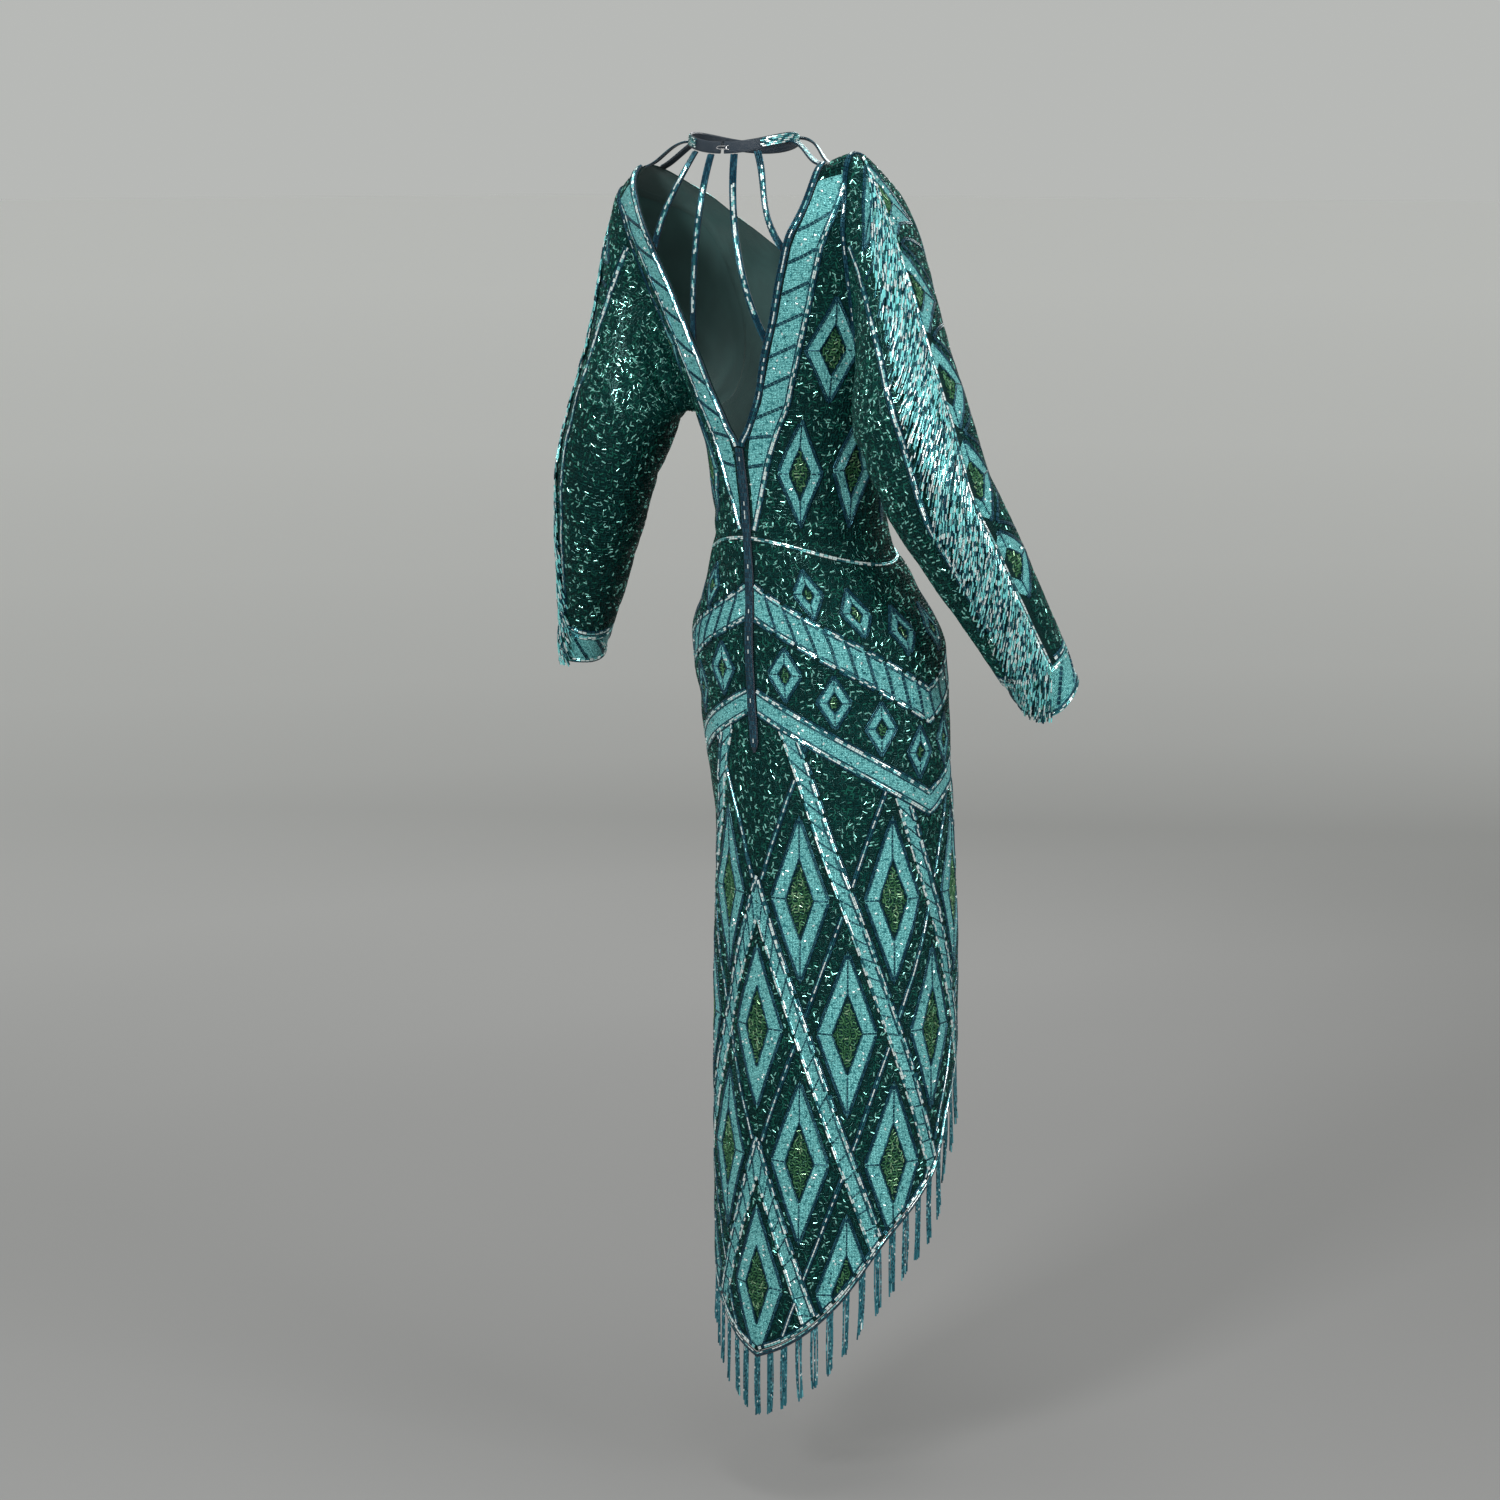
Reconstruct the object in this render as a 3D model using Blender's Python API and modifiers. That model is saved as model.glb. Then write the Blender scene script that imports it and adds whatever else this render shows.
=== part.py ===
"""Long beaded evening gown, worn and hollow: cloth walls in the form they take on a general figure.

Metres, +Z up. The front faces -Y, so +Y is the back and +X is the wearer's left. The origin is
the middle of the neck opening at collar height, where the wearer holds the gown.
A turn is an angle round the body from the centre back: 90 is the wearer's left side seam,
180 the centre front and -90 the right side seam. A level is a height, below the collar.
"""
import math

import bmesh
import bpy
import numpy as np
from mathutils import Vector

# --- cloth and seams ---------------------------------------------------------------------------
CLOTH = 0.0020            # beaded cloth with its backing
SEAM = 0.0007             # parting line between two sewn edges
SET_IN = 0.0013           # parting line round an armhole
LAID = 0.0006             # a band lies this far off the cloth under it
BAND = 0.0017             # thickness of straps, bindings and placket
STRAP_WIDTH = 0.0085
BINDING_WIDTH = 0.0085
BINDING_START = 0.25      # it begins this share of a row under the shoulder seam
PLACKET_WIDTH = 0.0110
PLACKET_TOP = -0.3330
PLACKET_END = -0.6700
PLACKET_POINT = 0.12      # its last row has this share of its width
BAND_NEAR = 0.4           # its inner lines lie at this share of its half width
ZIP_TAPE_WIDTH = 0.0240
ZIP_TAPE = 0.0012
ZIP_TOP = -0.3360
ZIP_END = -0.6580

# --- figure under the body of the gown, one ring a row -------------------------------------------
CENTRE_DROP = 0.0600              # a row faces away from a centre this far below it
FORM_COLUMNS = ("level", "side_shift", "fore_shift", "half_width", "back", "fore", "squareness")
FORM_ROWS = (
    (-0.0240, -0.0040, 0.0150, 0.1860, 0.0010, 0.0010, 2.5),    # shoulder seam
    (-0.0255, -0.0045, 0.0145, 0.1865, 0.0130, 0.0130, 2.5),
    (-0.0310, -0.0060, 0.0125, 0.1870, 0.0280, 0.0290, 2.5),
    (-0.0430, -0.0090, 0.0080, 0.1880, 0.0450, 0.0520, 2.5),
    (-0.0650, -0.0150, -0.0040, 0.1880, 0.0700, 0.0780, 2.5),
    (-0.1050, -0.0230, -0.0210, 0.1840, 0.0990, 0.0940, 2.5),   # shoulder blades
    (-0.1600, -0.0280, -0.0370, 0.1720, 0.1080, 0.1040, 2.4),
    (-0.2200, -0.0320, -0.0470, 0.1520, 0.1090, 0.1150, 2.3),   # bust
    (-0.3000, -0.0360, -0.0550, 0.1230, 0.1050, 0.1060, 2.1),   # armpit
    (-0.3450, -0.0385, -0.0560, 0.1100, 0.1020, 0.0940, 2.0),
    (-0.4200, -0.0420, -0.0480, 0.1020, 0.0880, 0.0880, 2.0),   # waist
    (-0.4850, -0.0470, -0.0580, 0.1280, 0.0980, 0.1000, 2.0),
    (-0.5540, -0.0490, -0.0690, 0.1610, 0.1120, 0.1120, 2.0),   # hip
    (-0.6800, -0.0600, -0.0750, 0.1500, 0.1200, 0.1180, 2.0),
    (-0.7600, -0.0650, -0.0830, 0.1390, 0.1310, 0.1280, 2.0),   # thigh
    (-0.9000, -0.0650, -0.0850, 0.1420, 0.1330, 0.1320, 2.0),   # knee
    (-1.4000, -0.0650, -0.0850, 0.1420, 0.1330, 0.1320, 2.0),
)
# side, lift: the right shoulder rises outwards, the left one slopes down
SHOULDER_ROWS = ((-0.2000, 0.0120), (-0.1760, 0.0100), (-0.1400, 0.0010), (-0.1000, 0.0000),
                 (0.0900, 0.0000), (0.1290, -0.0020), (0.1500, -0.0150), (0.1680, -0.0270),
                 (0.1900, -0.0330))
SHOULDER_BASE = -0.1600           # the lift fades out down to this level
CROWN = FORM_ROWS[0][0]           # level of the shoulder seams
YOKE_BASE = -0.3450               # below it the panels are whole rings
HIP_BASE = -0.7600                # below it the rows draw down to the hem
HEM_POINT = -1.3580               # lowest point of the hem, at the centre back

# --- edges of the body panels ------------------------------------------------------------------
# level, half the gap
BACK_V_ROWS = (
    (-0.3310, 0.0004), (-0.3100, 0.0120), (-0.2750, 0.0300), (-0.2350, 0.0450),
    (-0.2000, 0.0605), (-0.1500, 0.0810), (-0.1050, 0.1010), (-0.0700, 0.1210),
    (-0.0430, 0.1310), (-0.0240, 0.1340),
)
# level, half the gap
NECKLINE_ROWS = (
    (-0.1400, 0.0000), (-0.1370, 0.0350), (-0.1260, 0.0700), (-0.1040, 0.0970),
    (-0.0750, 0.1190), (-0.0430, 0.1310), (-0.0240, 0.1340),
)
ARMPIT = -0.3000
# level, degrees behind the side seam, degrees before it
ARMHOLE_ROWS = (
    (ARMPIT, 0.0, 0.0), (-0.2900, 9.0, 10.0), (-0.2650, 17.0, 21.0), (-0.2200, 25.0, 31.0),
    (-0.1600, 31.0, 38.0), (-0.1050, 33.0, 40.0), (-0.0700, 31.0, 36.0), (-0.0430, 28.0, 30.0),
    (-0.0240, 25.0, 25.0),
)
DEGREE_LENGTH = 0.0023            # girth to a degree near the armhole
SHALLOWEST = 0.0800               # depth of the figure that the seam there is worked out for
# turn, rise over the lowest point
HEM_ROWS = (
    (0.0, 0.000), (13.0, 0.015), (26.0, 0.037), (40.0, 0.070), (65.0, 0.149), (83.0, 0.190),
    (94.0, 0.220), (104.0, 0.271), (120.0, 0.328), (150.0, 0.395), (180.0, 0.420),
)

# --- sleeves: middle line and girth along each arm ---------------------------------------------
# level, side and fore place of the middle, radius
LEFT_ARM_ROWS = (
    (-0.2950, 0.1740, 0.0060, 0.0620), (-0.3600, 0.1980, 0.0120, 0.0570),
    (-0.4300, 0.2300, -0.0030, 0.0500), (-0.5000, 0.2670, -0.0280, 0.0400),
    (-0.5600, 0.3000, -0.0490, 0.0300),
)
RIGHT_ARM_ROWS = (
    (-0.2950, -0.2440, 0.0000, 0.0620), (-0.3600, -0.2680, -0.0080, 0.0590),
    (-0.4300, -0.2900, -0.0410, 0.0540), (-0.5000, -0.3080, -0.0800, 0.0460),
    (-0.5600, -0.3200, -0.1160, 0.0400),
)
LEAVE_PULL = {1: 0.30, -1: 0.26}  # how far each cap stands out before it turns down the arm
LEAVE_RISE = {1: -0.50, -1: 0.08} # slope at which each cap leaves the shoulder seam
ARRIVE_PULL = 1.00
CAP_EASE = 1.3                    # its rows lie closer together near the armhole
CAP_LOW_TURN = 0.60               # under the arm it turns this much less outwards
CAP_DOWN = 0.55                   # slope down the arm at the sides of the armhole
CAP_LOW_DOWN = 0.30               # and this much more under the arm
CUFF_LENGTH = 0.044
CUFF_POINT = 0.010                # the cuff is longer by this over the back of the hand
CUFF_POINT_TURN = 50.0            # degrees round the arm from its outer line
CUFF_TAPER = 0.14

# --- collar and straps -------------------------------------------------------------------------
COLLAR_RADIUS = 0.0600
COLLAR_HEIGHT = 0.0130
COLLAR_THICKNESS = 0.0024
COLLAR_TURN = 20.0                # the opening is turned this much to the wearer's right
COLLAR_SLIT = 4.0                 # degrees between its two ends
COLLAR_RISE = 0.0030              # height of its middle line at the sides
COLLAR_DIP = 0.0110               # the back and the front lie lower than the sides
COLLAR_SLOPE = 0.15               # it widens downwards
HOOK_WIRE = 0.0009
# turn round the collar, height
HOOK_ROWS = ((-4.5, 0.0015), (0.0, 0.0018), (4.5, 0.0015), (6.0, 0.0), (4.5, -0.0015),
             (0.0, -0.0018), (-4.5, -0.0015))
STRAP_PART = 0.0008               # between a strap's end and the edge it is sewn to
# name, collar turn, level and span of its end on the edge, headings: out, to the side, to the side
BACK_STRAP_ROWS = (("inner", 13.0, -0.2130, 0.0120, 0.45, 0.00, 0.30),
                   ("outer", 37.0, -0.1150, 0.0100, 0.45, 0.20, 0.55))
LEAVE_DOWN = -0.90                # the back straps leave the collar downwards
ARRIVE_FORE = -0.34               # and come in to the edge forwards and down
ARRIVE_DOWN = -0.88
TOP_STRAP_PULL = 0.8              # the upper straps run nearly straight
BACK_STRAP_POINTS = 15
TOP_STRAP_POINTS = 8
# name, collar turn, height on the collar, length along the edge from the shoulder seam
TOP_STRAP_ROWS = (("shoulder", 78.0, -0.0030, 0.0020), ("fore", 112.0, 0.0020, 0.0110))

# --- fringes -----------------------------------------------------------------------------------
TRIM_HEIGHT = 0.0050
TRIM_PART = 0.0012                # between the cloth's edge and the hem trim
HEM_TASSELS = 48
HEM_STRAND_DROP = 0.0720
HEM_STRAND_UNEVEN = 0.05          # share of the drop that lengths differ by
HEM_UNEVEN_STEP = 2.3             # strand by strand, along a wave
HEM_STRAND_SPREAD = 0.0012        # a tassel's strands part by this at their feet
HEM_STRAND_FOOT = 0.55            # girth of the foot beside the root
STRAND_TURN = 1.30                # degrees round the hem that a strand takes
STRAND_PARTING = 0.50
SLEEVE_STRANDS = 24               # to a half sleeve
SLEEVE_STRAND_DROP = 0.0850
SLEEVE_SWEEP = {1: 0.34, -1: 0.42}    # swing to the back for a length down, more on the right
SLEEVE_TRIM_WIDTH = 0.0040
SLEEVE_TRIM = 0.0020
SLEEVE_TRIM_LAID = 0.00095
SLEEVE_FRINGE_TOP = 0.0120        # the sleeve fringe starts this far below the shoulder
STRAND_ROOT = 0.0050
STRAND_GIRTH = 0.0018
# share of the drop, girth, and how far its under and upper sides lie off the sleeve
SLEEVE_STRAND_ROWS = ((0.3, 1.0, 0.0030, 0.0048), (0.65, 0.85, 0.0030, 0.0046),
                      (1.0, 0.65, 0.0032, 0.0045))
TRIM_TOP_COL = 0.0                # the trim runs down the outer line and turns a little back
TRIM_END_COL = 1.0
PAST_CUFF = 0.0080

# --- fineness of the walls ---------------------------------------------------------------------
HALF_COLUMNS = 9
UNDERARM_ROWS = 2
ARMHOLE_STEPS = 10
CENTRE_FRONT_ROWS = 5             # of the rows above the yoke's base, those below the neckline
CROWN_LENGTHS = (0.0120, 0.0040)  # rows of cloth close to the shoulder seam
HIP_ROWS = 13
HEM_ROWS_DOWN = 7
CAP_ROWS = 7
ARM_RING_ROWS = 8
SLEEVE_COLUMNS = 2 * ARMHOLE_STEPS + 2
WELD = 0.00001
FINE = 301                        # points of a line before its rows are chosen

TEAL_GROUND = (0.020, 0.075, 0.070)
TURQUOISE = (0.190, 0.560, 0.540)
NAVY = (0.020, 0.045, 0.075)
SILVER = (0.750, 0.900, 0.900)
STEEL = (0.600, 0.600, 0.620)


# --- curves and grids --------------------------------------------------------------------------
def eased(stations, values, at):
    """Values between table rows, on a smooth curve that does not pass beyond a row."""
    stations = np.asarray(stations, dtype=float)
    values = np.asarray(values, dtype=float)
    at = np.asarray(at, dtype=float)
    steps = np.diff(stations)
    rises = np.diff(values) / steps
    slopes = np.zeros_like(values)
    before, after = rises[:-1], rises[1:]
    keeps_on = before * after > 0
    safe_before = np.where(keeps_on, before, 1.0)
    safe_after = np.where(keeps_on, after, 1.0)
    weight_before = 2 * steps[1:] + steps[:-1]
    weight_after = steps[1:] + 2 * steps[:-1]
    mean = (weight_before + weight_after) / (weight_before / safe_before + weight_after / safe_after)
    slopes[1:-1] = np.where(keeps_on, mean, 0.0)
    slopes[0], slopes[-1] = rises[0], rises[-1]
    row = np.clip(np.searchsorted(stations, at, side="right") - 1, 0, len(steps) - 1)
    t = (at - stations[row]) / steps[row]
    t2, t3 = t * t, t * t * t
    return ((2 * t3 - 3 * t2 + 1) * values[row] + (t3 - 2 * t2 + t) * steps[row] * slopes[row]
            + (3 * t2 - 2 * t3) * values[row + 1] + (t3 - t2) * steps[row] * slopes[row + 1])


def column(rows, index):
    return [row[index] for row in rows]


def along(points, fractions):
    """Points at the given fractions of the length of a smooth curve through some points."""
    points = np.asarray(points, dtype=float)
    reach = lengths_along(points)
    at = np.asarray(fractions) * reach[-1]
    return np.stack([eased(reach, points[:, axis], at) for axis in range(points.shape[1])], axis=-1)


FORM_LEVELS = [-level for level in column(FORM_ROWS, 0)]      # rising, for the curve


def form_ring(level):
    """Centre, half width, back and fore depth and squareness of the figure at a level."""
    return [eased(FORM_LEVELS, column(FORM_ROWS, index), -level)
            for index in range(1, len(FORM_COLUMNS))]


def on_form(turn, level):
    """Point on the figure at a turn and a level."""
    side_shift, fore_shift, half_width, back, fore, squareness = form_ring(level)
    angle = np.radians(turn)
    across, away = np.sin(angle), np.cos(angle)
    depth = np.where(away > 0, back, fore)
    x = side_shift + half_width * np.sign(across) * np.abs(across) ** (2 / squareness)
    y = fore_shift + depth * np.sign(away) * np.abs(away) ** (2 / squareness)
    fade = np.clip((level - SHOULDER_BASE) / (CROWN - SHOULDER_BASE), 0.0, 1.0)
    lift = eased(column(SHOULDER_ROWS, 0), column(SHOULDER_ROWS, 1), x)
    return np.stack([x, y, level + lift * fade * fade * (3 - 2 * fade)], axis=-1)


def turn_at(half_gap, level):
    """Turn from the centre back, or from the centre front, that lies half_gap to the side."""
    ring = form_ring(level)
    half_width, squareness = ring[2], ring[5]
    return np.degrees(np.arcsin((np.asarray(half_gap) / half_width) ** (squareness / 2)))


def lengths_along(points):
    """Length of a line of points from its start to each of them."""
    steps = np.linalg.norm(np.diff(points, axis=0), axis=1)
    return np.concatenate([[0.0], np.cumsum(steps)])


def grid_normals(grid, closed):
    """Outward normals at the points of a grid whose rows run down and columns run round."""
    down = np.gradient(grid, axis=0)
    if closed:
        round_ = (np.roll(grid, -1, axis=1) - np.roll(grid, 1, axis=1)) / 2
    else:
        round_ = np.gradient(grid, axis=1)
    normals = np.cross(down, round_)
    return normals / np.linalg.norm(normals, axis=-1, keepdims=True)


def between(grid, row, col, closed=False):
    """Point of a grid at a broken row and column."""
    rows, cols = grid.shape[:2]
    r = int(min(max(math.floor(row), 0), rows - 2))
    fr = row - r
    if closed:
        c = int(math.floor(col)) % cols
        c_next = (c + 1) % cols
        fc = col - math.floor(col)
    else:
        c = int(min(max(math.floor(col), 0), cols - 2))
        c_next = c + 1
        fc = col - c
    upper = grid[r, c] * (1 - fc) + grid[r, c_next] * fc
    lower = grid[r + 1, c] * (1 - fc) + grid[r + 1, c_next] * fc
    return upper * (1 - fr) + lower * fr


# --- making objects ----------------------------------------------------------------------------
for old in list(bpy.data.objects):
    bpy.data.objects.remove(old, do_unlink=True)

gown = bpy.data.collections.new("beaded_gown")
bpy.context.scene.collection.children.link(gown)


def finish_material(name, colour, roughness, metallic):
    material = bpy.data.materials.new(name)
    material.use_nodes = True
    shader = material.node_tree.nodes["Principled BSDF"]
    shader.inputs["Base Color"].default_value = (*colour, 1.0)
    shader.inputs["Roughness"].default_value = roughness
    shader.inputs["Metallic"].default_value = metallic
    return material


beaded_cloth = finish_material("beaded_cloth", TEAL_GROUND, 0.35, 0.0)
turquoise_cloth = finish_material("turquoise_cloth", TURQUOISE, 0.35, 0.0)
navy_satin = finish_material("navy_satin", NAVY, 0.45, 0.0)
bead_band = finish_material("bead_band", SILVER, 0.25, 0.3)
fringe_beads = finish_material("fringe_beads", TEAL_GROUND, 0.20, 0.1)
bright_steel = finish_material("bright_steel", STEEL, 0.25, 1.0)


def add_object(name, bm, material):
    """Put a bmesh in the gown's collection as a smooth named object."""
    mesh = bpy.data.meshes.new(name)
    bm.to_mesh(mesh)
    bm.free()
    mesh.shade_smooth()
    mesh.set_sharp_from_angle(angle=math.radians(40))
    mesh.materials.append(material)
    piece = bpy.data.objects.new(name, mesh)
    gown.objects.link(piece)
    return piece


def add_grid(bm, grid, inside, closed=False):
    """Quads through a grid of points, facing away from a point inside for each row."""
    away = np.sum(grid_normals(grid, closed) * (grid - np.asarray(inside)[:, None, :]))
    if away < 0:
        grid = grid[:, ::-1]
    rows, cols = grid.shape[:2]
    verts = [[bm.verts.new(grid[r, c]) for c in range(cols)] for r in range(rows)]
    for r in range(rows - 1):
        for c in range(cols if closed else cols - 1):
            c_next = (c + 1) % cols
            bm.faces.new((verts[r][c], verts[r + 1][c], verts[r + 1][c_next], verts[r][c_next]))


def thickened(name, bm, material, thickness):
    """Cloth from an open surface, its outer face, thickened inwards."""
    piece = add_object(name, bm, material)
    solidify = piece.modifiers.new("thickness", "SOLIDIFY")
    solidify.thickness = thickness
    solidify.offset = -1.0
    return piece


def wall(name, grid, inside, material, thickness=CLOTH, closed=False):
    bm = bmesh.new()
    add_grid(bm, grid, inside, closed)
    return thickened(name, bm, material, thickness)


# --- body panels -------------------------------------------------------------------------------
def edge_rows(turns, levels, corner_level, low_rows, high_rows):
    """Turns and levels of the rows up an edge, even in length on the cloth below and above a
    corner, and close together under the shoulder seam."""
    reach = lengths_along(on_form(turns, levels))
    corner = float(np.interp(corner_level, levels, reach))
    top = reach[-1]
    stops = np.concatenate([np.linspace(0.0, corner, low_rows + 1)[:-1],
                            np.linspace(corner, top - CROWN_LENGTHS[0], high_rows + 1),
                            top - np.array(CROWN_LENGTHS[1:]), [top]])
    return np.interp(stops, reach, turns), np.interp(stops, reach, levels)


def armhole_edge(behind):
    """Rows from the ring at the yoke's base up the side and the armhole."""
    angles = column(ARMHOLE_ROWS, 1 if behind else 2)
    levels = column(ARMHOLE_ROWS, 0)
    points = [(0.0, YOKE_BASE)] + [(angle * DEGREE_LENGTH, level)
                                   for angle, level in zip(angles, levels)]
    line = along(points, np.linspace(0, 1, FINE))
    turns = 90.0 - line[:, 0] / DEGREE_LENGTH
    if not behind:
        turns = 180.0 - turns
    turns, levels = edge_rows(turns, line[:, 1], ARMPIT, UNDERARM_ROWS, ARMHOLE_STEPS)
    inset = np.degrees(SEAM / 2 / form_ring(levels)[3].clip(min=SHALLOWEST))
    return turns - inset if behind else turns + inset, levels


def hem_level(turn):
    return HEM_POINT + eased(column(HEM_ROWS, 0), column(HEM_ROWS, 1), np.abs(turn))


def lower_rows(turns_at_base):
    """Turns and levels of the whole rings from below the yoke down to the hem."""
    levels = [np.full_like(turns_at_base, level)
              for level in np.linspace(YOKE_BASE, HIP_BASE, HIP_ROWS + 1)[1:]]
    hem = hem_level(turns_at_base)
    for step in range(1, HEM_ROWS_DOWN + 1):
        levels.append(HIP_BASE + (hem - HIP_BASE) * step / HEM_ROWS_DOWN)
    levels = np.stack(levels)
    return np.broadcast_to(turns_at_base, levels.shape), levels


def back_panel_grid(side):
    """Outer face of one back, its first column the centre back; side is +1 on the left."""
    points = [(BACK_V_ROWS[0][1], YOKE_BASE)] + [(gap, level) for level, gap in BACK_V_ROWS]
    line = along(points, np.linspace(0, 1, FINE))
    inner_turns, inner_levels = edge_rows(turn_at(line[:, 0], line[:, 1]), line[:, 1],
                                          BACK_V_ROWS[0][0], 1,
                                          UNDERARM_ROWS + ARMHOLE_STEPS - 1)
    outer_turns, outer_levels = armhole_edge(True)
    half_girth = np.linalg.norm(on_form(outer_turns, outer_levels)
                                - on_form(inner_turns, inner_levels), axis=1)
    edge_share = (BINDING_WIDTH / half_girth)[:, None]
    share = np.linspace(0, 1, HALF_COLUMNS)[None, :]
    share = np.concatenate([np.zeros_like(edge_share), edge_share + (1 - edge_share) * share],
                           axis=1)
    turns = inner_turns[:, None] * (1 - share) + outer_turns[:, None] * share
    levels = inner_levels[:, None] * (1 - share) + outer_levels[:, None] * share
    low_turns, low_levels = lower_rows(turns[0])
    turns = np.concatenate([turns[::-1], low_turns])
    levels = np.concatenate([levels[::-1], low_levels])
    return on_form(side * turns, levels)


def front_half(side):
    """Outer face of half the front, its first column the centre front and the neckline."""
    points = [(0.0, YOKE_BASE)] + [(gap, level) for level, gap in NECKLINE_ROWS]
    line = along(points, np.linspace(0, 1, FINE))
    inner_turns, inner_levels = edge_rows(
        180.0 - turn_at(line[:, 0], line[:, 1]), line[:, 1], NECKLINE_ROWS[0][0],
        CENTRE_FRONT_ROWS, UNDERARM_ROWS + ARMHOLE_STEPS - CENTRE_FRONT_ROWS)
    inner_turns[:CENTRE_FRONT_ROWS + 1] = 180.0
    outer_turns, outer_levels = armhole_edge(False)
    share = np.linspace(0, 1, HALF_COLUMNS + 1)
    turns = inner_turns[:, None] * (1 - share) + outer_turns[:, None] * share
    levels = inner_levels[:, None] * (1 - share) + outer_levels[:, None] * share
    low_turns, low_levels = lower_rows(turns[0])
    turns = np.concatenate([turns[::-1], low_turns])
    levels = np.concatenate([levels[::-1], low_levels])
    return on_form(side * turns, levels)


left_back_grid = back_panel_grid(1)
right_back_grid = back_panel_grid(-1)
right_front_half = front_half(-1)
left_front_half = front_half(1)


def body_centres(grid):
    """Centre of the figure beside each row of a body panel, a little below the row."""
    levels = grid[..., 2].mean(axis=1)
    ring = form_ring(levels)
    return np.stack([ring[0], ring[1], levels - CENTRE_DROP], axis=1)


for name, grid in (("back_left", left_back_grid), ("back_right", right_back_grid)):
    wall(name, grid, body_centres(grid), beaded_cloth)

front_bm = bmesh.new()
for grid in (left_front_half, right_front_half):
    add_grid(front_bm, grid, body_centres(grid))
bmesh.ops.remove_doubles(front_bm, verts=front_bm.verts, dist=WELD)
thickened("front", front_bm, beaded_cloth, CLOTH)


# --- sleeves -----------------------------------------------------------------------------------
def armhole_loop(back_grid, front_half_grid):
    """Armhole from the shoulder down its back edge to the armpit and up its front edge."""
    crown_rows = len(CROWN_LENGTHS)
    armpit_row = crown_rows + ARMHOLE_STEPS
    back_edge, front_edge = back_grid[:, -1], front_half_grid[:, -1]
    shoulder = (back_edge[:1] + front_edge[:1]) / 2
    armpit = (back_edge[armpit_row] + front_edge[armpit_row]) / 2
    return np.concatenate([shoulder, back_edge[crown_rows:armpit_row], [armpit],
                           front_edge[crown_rows:armpit_row][::-1]])


def arm_ring(rows, level):
    """Middle, heading and radius of a sleeve at a level."""
    levels = [-value for value in column(rows, 0)]

    def middle(at):
        return np.array([eased(levels, column(rows, 1), -at),
                         eased(levels, column(rows, 2), -at), at])

    step = 0.004
    heading = middle(level - step) - middle(level + step)
    return middle(level), heading / np.linalg.norm(heading), eased(levels, column(rows, 3), -level)


def ring_points(middle, heading, radius, side):
    """Ring round an arm, from its outer line to the back, the inner line and the front."""
    outward = np.array([side, 0.0, 0.0])
    outward -= heading * np.dot(outward, heading)
    outward /= np.linalg.norm(outward)
    backward = np.array([0.0, 1.0, 0.0])
    backward -= heading * np.dot(backward, heading) + outward * np.dot(backward, outward)
    backward /= np.linalg.norm(backward)
    angles = np.radians(np.arange(SLEEVE_COLUMNS) * 360.0 / SLEEVE_COLUMNS)[:, None]
    return middle + radius * (np.cos(angles) * outward + np.sin(angles) * backward)


def sleeve_grid(side, rows, loop):
    """Outer face of a sleeve: the cap swept from the armhole to the arm, then rings."""
    first = rows[0][0]
    middle, heading, radius = arm_ring(rows, first)
    biceps = ring_points(middle, heading, radius, side)
    around = loop - loop.mean(axis=0)
    around[:, 0] = 0.0
    around /= np.linalg.norm(around, axis=1, keepdims=True)
    low_share = np.clip(-around[:, 2:3], 0.0, 1.0)
    outwards = np.array([side, 0.0, 0.0])
    high_share = np.clip(around[:, 2:3], 0.0, 1.0)
    start = (outwards * (1.0 - CAP_LOW_TURN * low_share)
             + heading * (CAP_DOWN + CAP_LOW_DOWN * low_share) * (1.0 - high_share)
             + np.array([0.0, 0.0, LEAVE_RISE[side]]) * high_share)
    start /= np.linalg.norm(start, axis=1, keepdims=True)
    reach = np.linalg.norm(biceps - loop, axis=1, keepdims=True)
    sleeve = [loop + start * SET_IN]
    for step in range(1, CAP_ROWS + 1):
        t = (step / CAP_ROWS) ** CAP_EASE
        t2, t3 = t * t, t * t * t
        sleeve.append((2 * t3 - 3 * t2 + 1) * sleeve[0] + (3 * t2 - 2 * t3) * biceps
                      + (t3 - 2 * t2 + t) * start * reach * LEAVE_PULL[side]
                      + (t3 - t2) * heading * reach * ARRIVE_PULL)
    for level in np.linspace(first, rows[-1][0], ARM_RING_ROWS + 1)[1:]:
        middle, heading, radius = arm_ring(rows, level)
        sleeve.append(ring_points(middle, heading, radius, side))
    return np.stack(sleeve)


def cuff_grid(side, rows):
    middle, heading, radius = arm_ring(rows, rows[-1][0])
    angles = np.radians(np.arange(SLEEVE_COLUMNS) * 360.0 / SLEEVE_COLUMNS)
    point = CUFF_POINT * np.clip(np.cos(angles - math.radians(CUFF_POINT_TURN)), 0.0, 1.0) ** 2
    rings = []
    for share in np.linspace(0, 1, 4):
        size = radius * (1.0 - CUFF_TAPER * share)
        ring = ring_points(middle, heading, size, side)
        length = SEAM + (CUFF_LENGTH + point) * share
        rings.append(ring + heading * length[:, None])
    return np.stack(rings)


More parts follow.
